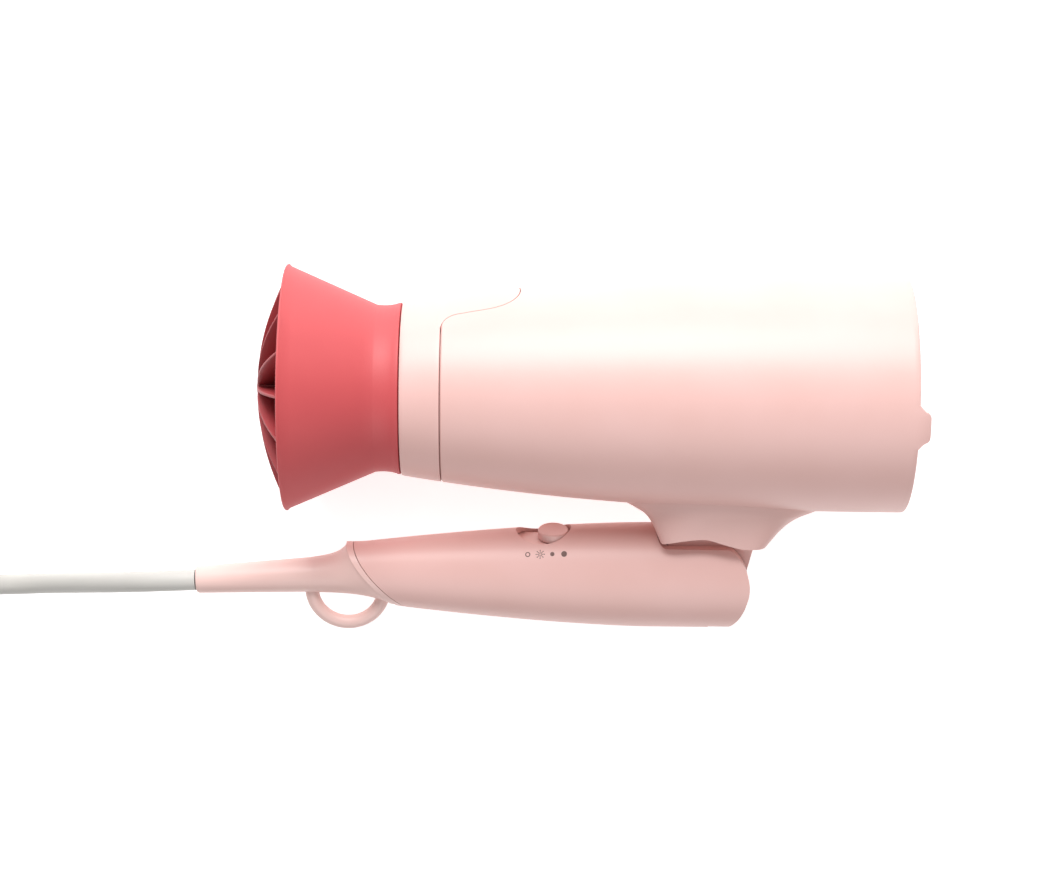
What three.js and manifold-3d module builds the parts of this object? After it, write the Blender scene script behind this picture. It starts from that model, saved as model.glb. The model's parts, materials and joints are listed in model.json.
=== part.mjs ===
// A folding hair dryer, lying on its side with its handle folded under the barrel.
// Millimetres. The barrel's axis is X: the nozzle points to -X and the air inlet to +X.
// +Y is the top of the dryer, the handle is on the -Y side, and Z is across it.
// The dryer is modelled round the barrel's axis, then moved so that it lies on Z = 0.

import * as THREE from 'three';
import { mergeVertices } from 'three/addons/utils/BufferGeometryUtils.js';
import Module from 'manifold-3d';

const wasm = await Module();
wasm.setup();

// ---- Driving sizes ---------------------------------------------------------------------------

const gap = 0.3; // between pieces that touch
const runningGap = 0.09; // round the pivot pin
const roundSides = 32; // sides of a large round piece
const smallSides = 12;

const barrelLength = 164.3; // front joint to rear rim
const frontRadius = 28.5;
const rearRadius = 39;
const barrelCurve = 2.5; // how early the barrel reaches its full radius
const wall = 2.2;
const rimDepth = 12; // recess for the inlet grille
const rimWall = 1.8;
const lugWidth = 12;
const lugHeight = 3.6;

const coverLength = 12.9; // ring at the front of the barrel
const tongueReach = 25.3; // its tongue along the barrel's top
const tongueHalfWidth = 12.2;
const tongueThickness = 0.9;
const sleeveLength = 7; // the ring's sleeve inside the barrel

const spigotRadius = 25; // the nozzle's plug-in end
const spigotLength = 6;
const nozzleLength = 38;
const nozzleRadius = 40.4; // at its open rim
const waistRadius = 27;
const waistPlace = 6.9; // ahead of the joint
const nozzleWall = 1.8;
const domeRise = 9.3; // front grille
const hubRadius = 4;
const ribCount = 16;
const ribThickness = 1;
const ribDepth = 6;

const hingeX = 99;
const hingeDrop = 64; // below the barrel's axis
const earRadius = 16;
const earTop = 12.7; // the ears' flat top, above the hinge
const neckHalfWidth = 17.5;
const tongueHalf = 6.5; // the barrel's hinge tongue
const tongueRadius = 15;
const pinRadius = 3;
const pinHalfLength = 12.5;

const handleRadius = 17.8; // in the plane of the fold, at the hinge
const tipRadius = 10.3; // where the end cap begins
const handleTip = -13.6;
const handleFlatten = 0.85; // across the handle over its height
const handleCurve = 1.53;

const slotStart = 37.6; // the switch's recess in the handle
const slotLength = 18.4;
const slotHalfWidth = 8;
const slotDepth = 3.7; // the sliding plate, below the handle's crest
const plateThickness = 0.8;
const plateHalfWidth = 6;
const knobLength = 10.3;
const knobWidth = 14;
const knobProud = -0.7; // over the handle's crest
const switchTravel = 6.8;

const reliefLength = 45.5; // tapered cord guard
const reliefStart = -24; // its place along the handle
const reliefRootRadius = 6.2;
const reliefTipRadius = 4.5;
const reliefLean = 3.4; // degrees
const cordDiameter = 7;
const lipWidth = 2.2; // band along the end cap's joint
const loopX = -18.7; // hanging loop
const loopDrop = 6; // below the handle's axis
const loopRadius = 12.1; // middle of its section
const loopSection = 4.6;

const heaterRadius = spigotRadius - gap; // mica tube
const heaterLength = 42;
const micaThickness = 0.6;
const coilRadius = 18.6;
const coilTurns = 3.5;
const coilWireRadius = 0.6;
const coilSteps = 12; // straight steps in each turn

const ductLength = 46;
const ductStart = 66;
const screwRoom = 4.2; // ring outside the duct for its screws
const ductWall = 1.4;
const motorRadius = 13.9;
const motorLength = 24;
const shaftRadius = 1;
const bladeCount = 7;
const bladeChord = 14;
const bladePitch = 35; // degrees
const diodeCount = 4;

const coilMidRadius = 37.5; // the wound cord
const coilColumns = 2;
const coilLayers = 3;
const coilLift = 1.3; // room for the tie under it
const coilX = -194;

const pinSpacing = 19; // mains plug
const plugPinRadius = 2.4;
const plugPinLength = 19;
const plugLength = 36;
const plugWidth = 34;
const plugThickness = 15;

// ---- Places worked out from the sizes --------------------------------------------------------

const handleY = -hingeDrop;
const hinge = [hingeX, -hingeDrop];
const rad = THREE.MathUtils.degToRad;

function barrelRadius(x) {
  const left = 1 - THREE.MathUtils.clamp(x / barrelLength, 0, 1);
  return rearRadius - (rearRadius - frontRadius) * left ** barrelCurve;
}

function handleRadiusAt(x) {
  const end = handleTip + 95 / 99 * hingeX;
  const left = 1 - THREE.MathUtils.clamp((x - handleTip) / (end - handleTip), 0, 1);
  return handleRadius - (handleRadius - tipRadius) * left ** handleCurve;
}

// ---- Shapes ----------------------------------------------------------------------------------

// Welds a geometry, drops its flat triangles and turns its faces outwards.
function closed(geometry) {
  geometry.deleteAttribute('normal');
  geometry.deleteAttribute('uv');
  const welded = mergeVertices(geometry, 1e-4);
  const place = welded.attributes.position;
  const corner = new THREE.Vector3();
  const [a, b, c] = [0, 1, 2].map(() => new THREE.Vector3());
  const index = [];
  let volume = 0;
  for (let i = 0; i < welded.index.count; i += 3) {
    const [p, q, r] = [0, 1, 2].map((k) => welded.index.getX(i + k));
    if (p === q || q === r || r === p) continue;
    index.push(p, q, r);
    a.fromBufferAttribute(place, p);
    b.fromBufferAttribute(place, q);
    c.fromBufferAttribute(place, r);
    volume += a.dot(corner.crossVectors(b, c));
  }
  if (volume < 0) index.reverse();
  welded.setIndex(index);
  return welded;
}

function solid(geometry) {
  const { position } = geometry.attributes;
  const triVerts = Uint32Array.from(geometry.index.array);
  const vertProperties = Float32Array.from(position.array);
  return new wasm.Manifold(new wasm.Mesh({ numProp: 3, vertProperties, triVerts }));
}

function shell(body) {
  const mesh = body.getMesh();
  const geometry = new THREE.BufferGeometry();
  geometry.setAttribute('position', new THREE.BufferAttribute(mesh.vertProperties, 3));
  geometry.setIndex(new THREE.BufferAttribute(mesh.triVerts, 1));
  return geometry;
}

const join = (first, ...rest) => rest.reduce((body, next) => body.add(next), first);
const cut = (first, ...rest) => rest.reduce((body, next) => body.subtract(next), first);

const stations = (from, to, count) =>
  Array.from({ length: count + 1 }, (_, i) => from + (to - from) * i / count);

// A round piece about the X axis, from [x, radius] points.
function turned(profile, sides = roundSides) {
  const points = profile.map(([x, radius]) => new THREE.Vector2(radius, x));
  return closed(new THREE.LatheGeometry(points, sides).rotateZ(-Math.PI / 2));
}

const rodX = (x0, x1, radius, sides = smallSides) =>
  turned([[x0, 0], [x0, radius], [x1, radius], [x1, 0]], sides);

const tubeX = (x0, x1, outer, inner, sides = roundSides) =>
  turned([[x0, inner], [x0, outer], [x1, outer], [x1, inner], [x0, inner]], sides);

function rodZ(x, y, z0, z1, radius, sides = smallSides) {
  const rod = new THREE.CylinderGeometry(radius, radius, z1 - z0, sides);
  return closed(rod.rotateX(Math.PI / 2).translate(x, y, (z0 + z1) / 2));
}

function block([x0, x1], [y0, y1], [z0, z1]) {
  const box = new THREE.BoxGeometry(x1 - x0, y1 - y0, z1 - z0);
  return closed(box.translate((x0 + x1) / 2, (y0 + y1) / 2, (z0 + z1) / 2));
}

const outlineOf = (points) => new THREE.Shape(points.map(([x, y]) => new THREE.Vector2(x, y)));

// An outline in X and Y, pulled along Z, with rounded edges where round is over 0.
function plate(outline, z0, z1, round = 0) {
  const geometry = new THREE.ExtrudeGeometry(outline, {
    depth: z1 - z0 - 2 * round,
    bevelEnabled: round > 0,
    bevelThickness: round,
    bevelSize: round,
    bevelOffset: -round,
    bevelSegments: 3,
    curveSegments: 5,
  });
  return closed(geometry.translate(0, 0, z0 + round));
}

// A round wire or cord through a list of points.
function wire(points, radius, sides = 6, steps = 3 * points.length) {
  const path = new THREE.CatmullRomCurve3(points.map((p) => new THREE.Vector3(...p)));
  const ring = outlineOf(around(sides, (angle) => [radius * Math.cos(angle), radius * Math.sin(angle)]));
  return closed(new THREE.ExtrudeGeometry(ring, { extrudePath: path, steps }));
}

function around(count, make) {
  return Array.from({ length: count }, (_, i) => make(2 * Math.PI * i / count, i));
}

// ---- Materials -------------------------------------------------------------------------------

const finish = (color, roughness, metalness = 0) =>
  new THREE.MeshStandardMaterial({ color, roughness, metalness });

const palePink = finish(0xf0cfc8, 0.45);
const capPink = finish(0xf6dcd5, 0.45);
const coral = finish(0xe86a6e, 0.4);
const darkCoral = finish(0xb84448, 0.5);
const cordGrey = finish(0xd9d6d0, 0.6);
const blackPlastic = finish(0x26262a, 0.5);
const whitePlastic = finish(0xe9e6e0, 0.5);
const mica = finish(0xb9a985, 0.6);
const steel = finish(0x9a9da1, 0.35, 1);
const brass = finish(0xb59a55, 0.35, 1);
const heaterWire = finish(0x8c8479, 0.4, 1);
const boardGreen = finish(0x2f6b45, 0.6);
const copperRed = finish(0xa03a34, 0.5);
const copperBlue = finish(0x3c5f9a, 0.5);

// ---- The object ------------------------------------------------------------------------------

const dryer = new THREE.Group();
const loose = new THREE.Group(); // the cord and what is on it
dryer.add(loose);

function piece(name, geometry, material, parent = dryer) {
  const mesh = new THREE.Mesh(geometry, material);
  mesh.name = name;
  parent.add(mesh);
  return mesh;
}

// ---- Barrel ----------------------------------------------------------------------------------

function barrelSkin(from, to, inset, rows = 10) {
  const xs = stations(from, to, rows);
  return turned([[from, 0], ...xs.map((x) => [x, barrelRadius(x) - inset]), [to, 0]]);
}

// Plan of the neck that joins the barrel to the hinge, its wall moved in by inset.
function neckPlan(inset) {
  const [hx, hy] = hinge;
  const shape = new THREE.Shape();
  const rootY = -rearRadius + 14;
  const front = hx + inset;
  const rear = hx - inset;
  shape.moveTo(front - 28.2, rootY);
  shape.lineTo(front - 28.2, hy + 25.6);
  shape.quadraticCurveTo(front - 18, hy + 24.8, front - 15.6, hy + 19.4);
  shape.lineTo(front - 13, hy + earTop + 1.7);
  shape.lineTo(rear + 17.4, hy + earTop + 1.7);
  shape.quadraticCurveTo(rear + 19.2, hy + earTop + 2.5, rear + 19.9, hy + 18);
  shape.quadraticCurveTo(rear + 21.6, hy + 22.6, rear + 34, hy + 25);
  shape.lineTo(rear + 36, rootY);
  return shape;
}

// Room under the neck's arched rim, over the handle's ears.
function earRoom(raise) {
  const [hx, hy] = hinge;
  const clear = earRadius + runningGap + raise;
  const rim = [[-13.6, -0.5], [-11.2, 0.7], [-5.5, 2], [0.5, 2.5], [4, 1.7], [6.7, 0.8], [12.4, -0.7],
    [17, -1], [40, -1]];
  return solid(plate(outlineOf([
    [hx - 40, hy - 20], [hx - 40, hy + clear - 0.5], ...rim.map(([x, y]) => [hx + x, hy + clear + y]),
    [hx + 40, hy - 20],
  ]), -rearRadius, rearRadius));
}

function coverTongueGap(extra) {
  // Outline in X and Z, pulled up through the barrel's top.
  const start = coverLength;
  const end = coverLength + tongueReach + extra;
  const half = tongueHalfWidth + extra;
  const root = half + 4.4;
  const shape = new THREE.Shape();
  shape.moveTo(start - 6, -root);
  shape.lineTo(start, -root);
  shape.quadraticCurveTo(start + 1.2, -half - 0.6, start + 5, -half);
  shape.lineTo(start + 14, -half + 0.6);
  shape.bezierCurveTo(end - 2, -half + 1.2, end, -half / 2, end, 0);
  shape.bezierCurveTo(end, half / 2, end - 2, half - 1.2, start + 14, half - 0.6);
  shape.lineTo(start + 5, half);
  shape.quadraticCurveTo(start + 1.2, half + 0.6, start, root);
  shape.lineTo(start - 6, root);
  const prism = new THREE.ExtrudeGeometry(shape, {
    depth: rearRadius + 6,
    bevelEnabled: false,
    curveSegments: 6,
  });
  return solid(closed(prism.rotateX(-Math.PI / 2).translate(0, 6, 0)));
}

function mainHousing() {
  const [hx, hy] = hinge;
  const front = coverLength + gap;
  const outside = solid(barrelSkin(front, barrelLength, 0, 7));
  const neck = solid(plate(neckPlan(0), -neckHalfWidth, neckHalfWidth, 2));
  const hingeTongue = join(
    solid(rodZ(hx, hy, -tongueHalf, tongueHalf, tongueRadius, 32)),
    solid(plate(outlineOf([
      [hx - 11, hy], [hx - 11, hy + 20], [hx + tongueRadius + 2.9, hy + 20],
      [hx + tongueRadius + 2.3, hy + 11.5], [hx + tongueRadius - 0.1, hy + 1.5],
      [hx + tongueRadius - 0.2, hy],
    ]), -tongueHalf, tongueHalf)),
  );
  const inside = solid(barrelSkin(front - 1, barrelLength - rimDepth - 4, wall, 6));
  const ledge = solid(rodX(barrelLength - rimDepth - 5, barrelLength, rearRadius - 4, roundSides));
  const recess = solid(rodX(barrelLength - rimDepth, barrelLength + 1, rearRadius - rimWall, roundSides));
  const hollow = cut(
    solid(plate(neckPlan(wall), -neckHalfWidth + wall, neckHalfWidth - wall)),
    earRoom(wall),
  );
  const leadWay = solid(wire([
    [hx - 17, hy + 1, 0], [hx - 12, hy + 6, 0], [hx - 8, hy + 13, 0], [hx - 6, hy + 24, 0],
  ], 1.9, 8));
  const clicks = [206.9, 296.9].map((angle) => solid(rodZ(
    hx + (tongueRadius + 0.8) * Math.cos(rad(angle)),
    hy + (tongueRadius + 0.8) * Math.sin(rad(angle)),
    -tongueHalf - 1, tongueHalf + 1, 1.5,
  )));
  let body = join(outside, neck);
  body = cut(body, inside, ledge, recess, hollow, earRoom(0));
  body = join(body, cut(hingeTongue, inside));
  body = cut(body, leadWay, solid(rodZ(hx, hy, -20, 20, pinRadius + runningGap + 0.03, 32)), ...clicks);
  const pocket = cut(
    solid(barrelSkin(front - 2, coverLength + tongueReach + 6, -2, 4)),
    solid(barrelSkin(front - 3, coverLength + tongueReach + 7, tongueThickness + gap, 4)),
  );
  body = cut(body, pocket.intersect(coverTongueGap(gap)));
  const lugPlan = outlineOf([
    [barrelLength - 1.5, -lugWidth / 2], [barrelLength, -lugWidth / 2 - 1.5],
    [barrelLength + lugHeight * 0.8, -lugWidth / 2 + 1.6], [barrelLength + lugHeight, -lugWidth / 2 + 3.2],
    [barrelLength + lugHeight, lugWidth / 2 - 3.2], [barrelLength + lugHeight * 0.8, lugWidth / 2 - 1.6],
    [barrelLength, lugWidth / 2 + 1.5], [barrelLength - 1.5, lugWidth / 2],
  ]);
  const lugRing = solid(tubeX(barrelLength - 1.5, barrelLength + lugHeight, rearRadius, rearRadius - rimWall));
  const lugs = solid(plate(lugPlan, -rearRadius - 1, rearRadius + 1));
  return shell(join(body, lugRing.intersect(lugs)));
}

function frontCover() {
  const bore = spigotRadius + gap;
  const xs = stations(0, coverLength, 4);
  const sleeveEnd = coverLength + sleeveLength;
  const sleeveOuter = barrelRadius(coverLength) - wall - gap;
  const ring = solid(turned([
    [0, bore], ...xs.map((x) => [x, barrelRadius(x)]),
    [coverLength, sleeveOuter], [sleeveEnd, sleeveOuter], [sleeveEnd, bore], [0, bore],
  ]));
  const end = coverLength + tongueReach + 4;
  const layer = cut(
    solid(barrelSkin(coverLength - 3, end, 0, 4)),
    solid(barrelSkin(coverLength - 4, end + 1, tongueThickness, 4)),
  );
  return shell(join(ring, layer.intersect(coverTongueGap(0))));
}

function inletGrille() {
  const x0 = barrelLength - rimDepth + gap;
  const outer = rearRadius - rimWall - gap;
  const rim = solid(tubeX(x0, x0 + 4, outer, outer - 2));
  const rings = [0.36, 0.58, 0.8].map((share) =>
    solid(tubeX(x0 + 1, x0 + 3.4, outer * share + 0.8, outer * share - 0.8, 24)));
  const hub = solid(rodX(x0 + 1, x0 + 3.6, outer * 0.16, 16));
  const spokes = around(6, (angle) =>
    solid(block([x0 + 1, x0 + 3.2], [2, outer - 1], [-0.9, 0.9]).rotateX(angle)));
  return shell(join(rim, ...rings, hub, ...spokes));
}

function dustFilter() {
  const x0 = barrelLength - rimDepth - 1.1;
  return turned([
    [x0, 0], [x0, rearRadius - 4 - gap], [x0 + 1, rearRadius - 4 - gap],
    [x0 + 1, rearRadius - 7], [x0 + 0.5, rearRadius - 7], [x0 + 0.5, 0],
  ]);
}

// ---- Nozzle ----------------------------------------------------------------------------------

function nozzleBell() {
  const slope = (nozzleRadius - waistRadius) / (nozzleLength - waistPlace);
  const inner = spigotRadius - nozzleWall;
  const lip = 0.9;
  const profile = [
    [spigotLength, inner], [spigotLength, spigotRadius], [-gap, spigotRadius],
    [-gap, frontRadius - 0.3], [-2.3, frontRadius - 0.8], [-waistPlace + 1.9, waistRadius + 0.2],
    [-waistPlace, waistRadius], [-waistPlace - 1.5, waistRadius + 0.3],
    [-nozzleLength + 2, nozzleRadius - lip * 0.9], [-nozzleLength + lip, nozzleRadius],
    [-nozzleLength + 0.2, nozzleRadius - 0.2], [-nozzleLength, nozzleRadius - lip],
    [-nozzleLength + lip, nozzleRadius - nozzleWall],
    [-waistPlace - 4, waistRadius + slope * 4 - nozzleWall], [-waistPlace + 1, inner],
    [spigotLength, inner],
  ];
  return turned(profile, 36);
}

function nozzleGrille() {
  const outer = nozzleRadius - nozzleWall - 1.6;
  const front = (r) => -nozzleLength - domeRise * (1 - (r / outer) ** 2);
  const slope = (nozzleRadius - waistRadius) / (nozzleLength - waistPlace);
  const rs = stations(0, outer, 5);
  const back = -nozzleLength + ribDepth;
  const rib = outlineOf([
    ...rs.map((r) => [front(r), r]),
    [-nozzleLength + 1, outer], [back, outer - slope * (ribDepth - 1) - 0.2],
    [back - 3, hubRadius], [back - 3, 0],
  ]);
  const ribs = around(ribCount, (angle) =>
    solid(plate(rib, -ribThickness / 2, ribThickness / 2).rotateX(angle + Math.PI / ribCount)));
  const hub = solid(turned([
    [-nozzleLength - domeRise - 0.4, 0], [-nozzleLength - domeRise - 0.2, hubRadius * 0.7],
    [-nozzleLength - domeRise + 0.5, hubRadius], [back - 3, hubRadius], [back - 3, 0],
  ], 16));
  return shell(join(hub, ...ribs));
}

// ---- Heater ----------------------------------------------------------------------------------

const heaterStart = spigotLength + 6;
const heaterEnd = heaterStart + heaterLength;

function outletGrille() {
  const x0 = spigotLength + 1.5;
  const outer = spigotRadius;
  const rim = solid(tubeX(x0, x0 + 3, outer, outer - 1.6));
  const rings = [0.38, 0.68].map((share) =>
    solid(tubeX(x0 + 0.5, x0 + 2.5, outer * share + 0.7, outer * share - 0.7, 20)));
  const bars = around(4, (angle) =>
    solid(block([x0 + 0.6, x0 + 2.4], [-0.7, 0.7], [0, outer - 0.8]).rotateX(angle)));
  return shell(join(rim, ...rings, ...bars));
}

const heatShield = () =>
  tubeX(heaterStart, heaterEnd + 2, heaterRadius, heaterRadius - 0.5);

// A mica plate across the heater, half slotted so that two cross on the axis.
function micaPlate(slotAtFront) {
  const tab = heaterRadius - 0.5 - gap;
  const body = coilRadius * Math.cos(Math.PI / coilSteps) - coilWireRadius - gap;
  const tabLength = 3;
  const middle = (heaterStart + heaterEnd) / 2;
  const half = [
    [heaterStart, tab], [heaterStart + tabLength, tab], [heaterStart + tabLength, body],
    [heaterEnd - tabLength, body], [heaterEnd - tabLength, tab], [heaterEnd, tab],
  ];
  const outline = outlineOf([...half, ...half.map(([x, y]) => [x, -y]).reverse()]);
  const slot = micaThickness / 2 + gap;
  const ends = slotAtFront ? [heaterStart - 1, middle + gap] : [middle - gap, heaterEnd + 1];
  const sheet = solid(plate(outline, -micaThickness / 2, micaThickness / 2));
  return shell(cut(sheet, solid(block(ends, [-slot, slot], [-1, 1]))));
}

function heaterCoil(phase) {
  const steps = Math.round(coilTurns * coilSteps);
  const from = heaterStart + 5;
  const to = heaterEnd - 5;
  const points = stations(0, 1, steps).map((t) => {
    const angle = phase + 2 * Math.PI * coilTurns * t;
    return [from + (to - from) * t, coilRadius * Math.cos(angle), coilRadius * Math.sin(angle)];
  });
  return wire(points, coilWireRadius, 5, steps);
}

// ---- Fan and motor ---------------------------------------------------------------------------

const ductEnd = ductStart + ductLength;
const motorStart = ductStart + 2;
const motorEnd = motorStart + motorLength;
const flangeRadius = barrelRadius(ductEnd - 2) - wall - 2 * gap;
const ductRadius = flangeRadius - screwRoom;

function fanDuct() {
  const skin = solid(turned([
    [ductStart, ductRadius - ductWall], [ductStart, ductRadius], [ductEnd - 2, ductRadius],
    [ductEnd - 2, flangeRadius], [ductEnd, flangeRadius], [ductEnd, ductRadius - ductWall],
    [ductStart, ductRadius - ductWall],
  ]));
  const hubOuter = motorRadius + gap + 1.5;
  const hub = solid(tubeX(motorStart - 1, motorEnd - 2, hubOuter, motorRadius + gap));
  const vanes = around(6, (angle) => solid(block(
    [motorStart + 2, motorEnd - 4], [hubOuter - 0.6, ductRadius - 0.5], [-0.7, 0.7],
  ).rotateX(angle + 0.3)));
  const holes = around(3, (angle) => solid(
    rodX(ductEnd - 8, ductEnd + 1, screwRadius + gap, 10).translate(0, screwCircle, 0).rotateX(angle)));
  const bosses = around(3, (angle) => solid(
    rodX(ductEnd - 8, ductEnd - 1, screwRoom / 2, 10).translate(0, screwCircle, 0).rotateX(angle)));
  return shell(cut(join(skin, hub, ...vanes, ...bosses), ...holes));
}

const screwRadius = 1;
const screwCircle = (ductRadius + flangeRadius) / 2;

function screwX(angle) {
  const x = ductEnd + gap;
  const screw = turned([
    [x - 7, 0], [x - 7, screwRadius], [x, screwRadius], [x, 1.9], [x + 1.2, 1.6], [x + 1.2, 0],
  ], 10);
  return screw.translate(0, screwCircle, 0).rotateX(angle);
}

function motor() {
  const nose = motorEnd + 2.4;
  return turned([
    [motorStart, 0], [motorStart, motorRadius - 1], [motorStart + 1, motorRadius],
    [motorEnd - 1, motorRadius], [motorEnd, motorRadius - 1], [motorEnd, 4], [nose, 4],
    [nose, shaftRadius + gap], [motorEnd - 8, shaftRadius + gap], [motorEnd - 8, 0],
  ], 24);
}

const impellerStart = motorEnd + 3.4;
const impellerLength = ductEnd - impellerStart - 2;

const motorShaft = () => rodX(motorEnd - 7.5, impellerStart + impellerLength * 0.7, shaftRadius);

function impeller() {
  const bossRound = motorRadius - 2;
  const x0 = impellerStart;
  const x1 = x0 + impellerLength;
  const tip = ductRadius - ductWall - 0.7;
  const hub = solid(turned([
    [x0, 0], [x0, bossRound], [x1 - 5, bossRound], [x1 - 2, bossRound * 0.8],
    [x1, bossRound * 0.45], [x1, 0],
  ], 32));
  const limit = solid(rodX(x0, x1, tip, roundSides));
  const blades = around(bladeCount, (angle) => {
    const blade = block([-bladeChord / 2, bladeChord / 2], [bossRound - 1, tip + 2], [-0.6, 0.6]);
    return solid(blade.rotateY(rad(bladePitch)).translate((x0 + x1) / 2, 0, 0).rotateX(angle));
  });
  const bore = solid(rodX(x0 - 1, x0 + impellerLength * 0.7 + gap, shaftRadius + gap));
  return shell(cut(join(hub, ...blades).intersect(limit), bore));
}

// ---- Handle ----------------------------------------------------------------------------------

function handleSkin(from, to, inset, rows = 12) {
  const xs = stations(from, to, rows);
  const skin = turned([[from, 0], ...xs.map((x) => [x, handleRadiusAt(x) - inset]), [to, 0]]);
  return solid(skin.scale(1, 1, handleFlatten).translate(0, handleY, 0));
}

// The slanted joint between the handle and its end cap, as points from top to bottom.
function seam(shift) {
  const top = [handleTip - 2.9 + shift, handleY + 10];
  const control = [handleTip - 0.9 + shift, handleY + 3];
  const bottom = [handleTip + 13.1 + shift, handleY - 12];
  const curve = new THREE.QuadraticBezierCurve(
    new THREE.Vector2(...top), new THREE.Vector2(...control), new THREE.Vector2(...bottom));
  return [[top[0] - 0.6, handleY + 24], ...curve.getPoints(8).map((p) => [p.x, p.y]),
    [bottom[0] + 11, handleY - 24]];
}

// Plan of the handle: the end cap's joint, the notch for the neck and the round end.
function handlePlan() {
  const [hx, hy] = hinge;
  const arcFrom = Math.asin(earTop / earRadius);
  const arc = stations(arcFrom, rad(-13), 9).map((angle) =>
    [hx + earRadius * Math.cos(angle), hy + earRadius * Math.sin(angle)]);
  const notch = [[hx - 15.6, hy + 24], [hx - 15.5, hy + 18], [hx - 14.2, hy + earTop + 1.9],
    [hx - 12.8, hy + earTop + 0.4], [hx - 11.4, hy + earTop]];
  const heel = [[-1.4, -7.4], [-2.8, -11], [-4.8, -14.6], [-6.6, -17.4], [-7.4, -19.2], [-7.4, -24]]
    .map(([x, y]) => [hx + earRadius + x, hy + y]);
  return outlineOf([...seam(0).reverse(), ...notch, ...arc, ...heel]);
}

const bossPlaces = [22, 70];
const bossRadius = 3.4;
const handleScrewRadius = 1.25;

const channelTop = handleY + handleRadiusAt(slotStart + slotLength / 2) - slotDepth + gap;

function handleHalf(side) {
  const [hx, hy] = hinge;
  const plan = solid(plate(handlePlan(), -30, 30));
  const outside = handleSkin(handleTip - 8, hx + 20, 0, 8).intersect(plan);
  const hollowEnd = hx - earRadius - 3;
  const hollow = handleSkin(handleTip - 9, hollowEnd, wall, 6);
  const slotWidth = tongueHalf + gap;
  const sweep = [60, 20, -20, -50, -79].map((angle) =>
    [hx + 50 * Math.cos(rad(angle)), hy + 50 * Math.sin(rad(angle))]);
  const fork = join(
    solid(rodZ(hx, hy, -slotWidth, slotWidth, tongueRadius + 0.7, 32)),
    solid(plate(outlineOf([hinge, [hx - 11 - gap, hy], [hx - 11 - gap, hy + 50], ...sweep]),
      -slotWidth, slotWidth)),
  );
  const pivot = join(
    solid(rodZ(hx, hy, -pinHalfLength - gap, pinHalfLength + gap, pinRadius + gap, 24)),
    solid(rodZ(hx, hy, -slotWidth - 1, slotWidth + 1, 7.6, 24)),
  );
  const leadHole = solid(rodX(hollowEnd - 3, hx - 10, 2.4).translate(0, hy, 0));
  const clickHole = solid(rodX(hollowEnd - 3, hx - 8, 1.9).translate(0, hy - 7, 0));
  const recess = solid(block([slotStart, slotStart + slotLength],
    [channelTop - plateThickness - 2 * gap, handleY + 30], [-slotHalfWidth, slotHalfWidth]));
  const channel = solid(block(
    [slotStart - switchTravel - 2, slotStart + slotLength + switchTravel + 2],
    [channelTop - plateThickness - 2 * gap, channelTop],
    [-plateHalfWidth - gap, plateHalfWidth + gap]));
  const stemWay = solid(block([slotStart + 1, slotStart + slotLength - 1],
    [handleY, channelTop], [-3, 3]));
  const bosses = bossPlaces.map((x) => solid(rodZ(x, handleY, -25, 25, bossRadius)).intersect(outside));
  const holes = bossPlaces.map((x) => join(
    solid(rodZ(x, handleY, -25, screwTop(x) + 1, handleScrewRadius + gap, 12)),
    solid(rodZ(x, handleY, -25, screwHeadZ(x) + gap, 3, 12)),
  ));
  const posts = clampPosts.map((y) => join(
    solid(rodZ(clampX, y, -20, 3.4, 1.9, 12)),
  ).intersect(outside));
  const postHoles = clampPosts.map((y) => solid(rodZ(clampX, y, -5, 8, 0.8 + gap, 10)));
  const half = side > 0
    ? solid(block([-60, hx + 40], [hy - 40, hy + 40], [gap / 2, 40]))
    : solid(block([-60, hx + 40], [hy - 40, hy + 40], [-40, -gap / 2]));
  let body = join(cut(outside, hollow), ...bosses);
  body = cut(body, fork, pivot, leadHole, clickHole, recess, channel, stemWay, ...holes);
  body = body.intersect(half);
  if (side < 0) body = cut(join(body, ...posts.map((post) => cut(post, ...postHoles).intersect(half))), ...postHoles);
  return shell(body);
}

const clampX = 8;
const clampHalf = handleRadiusAt(clampX) - wall - 2.5;
const clampPosts = [handleY - 5.8, handleY + 5.8];
const screwHeadZ = (x) => -handleRadiusAt(x) * handleFlatten + 3.4;
const screwTop = (x) => handleRadiusAt(x) * handleFlatten - wall - 3;

function handleScrew(x) {
  const z = screwHeadZ(x);
  const head = solid(rodZ(x, handleY, z - 1.8, z, 2.6, 12));
  return shell(join(head, solid(rodZ(x, handleY, z - 0.5, screwTop(x), handleScrewRadius, 10))));
}

// ---- Switch ----------------------------------------------------------------------------------

const plateTop = channelTop - gap;
const knobX = slotStart + slotLength - knobLength / 2 - 0.8;
const knobTop = handleY + handleRadiusAt(knobX) + knobProud;
const stemHalf = 1.5;

function switchKnob() {
  const oval = new THREE.Shape();
  oval.absellipse(0, 0, knobLength / 2, knobWidth / 2, 0, 2 * Math.PI);
  const height = knobTop - plateTop - gap;
  const cap = new THREE.ExtrudeGeometry(oval, {
    depth: height - 1, bevelEnabled: true, bevelThickness: 0.5, bevelSize: 0.5, bevelOffset: -0.5,
    bevelSegments: 2, curveSegments: 8,
  });
  const knob = solid(closed(cap.rotateX(-Math.PI / 2).translate(knobX, plateTop + gap + 0.5, 0)));
  const stem = solid(block([knobX - stemHalf, knobX + stemHalf],
    [plateTop - 5, plateTop + gap + 1], [-stemHalf, stemHalf]));
  return shell(join(knob, stem));
}

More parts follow.
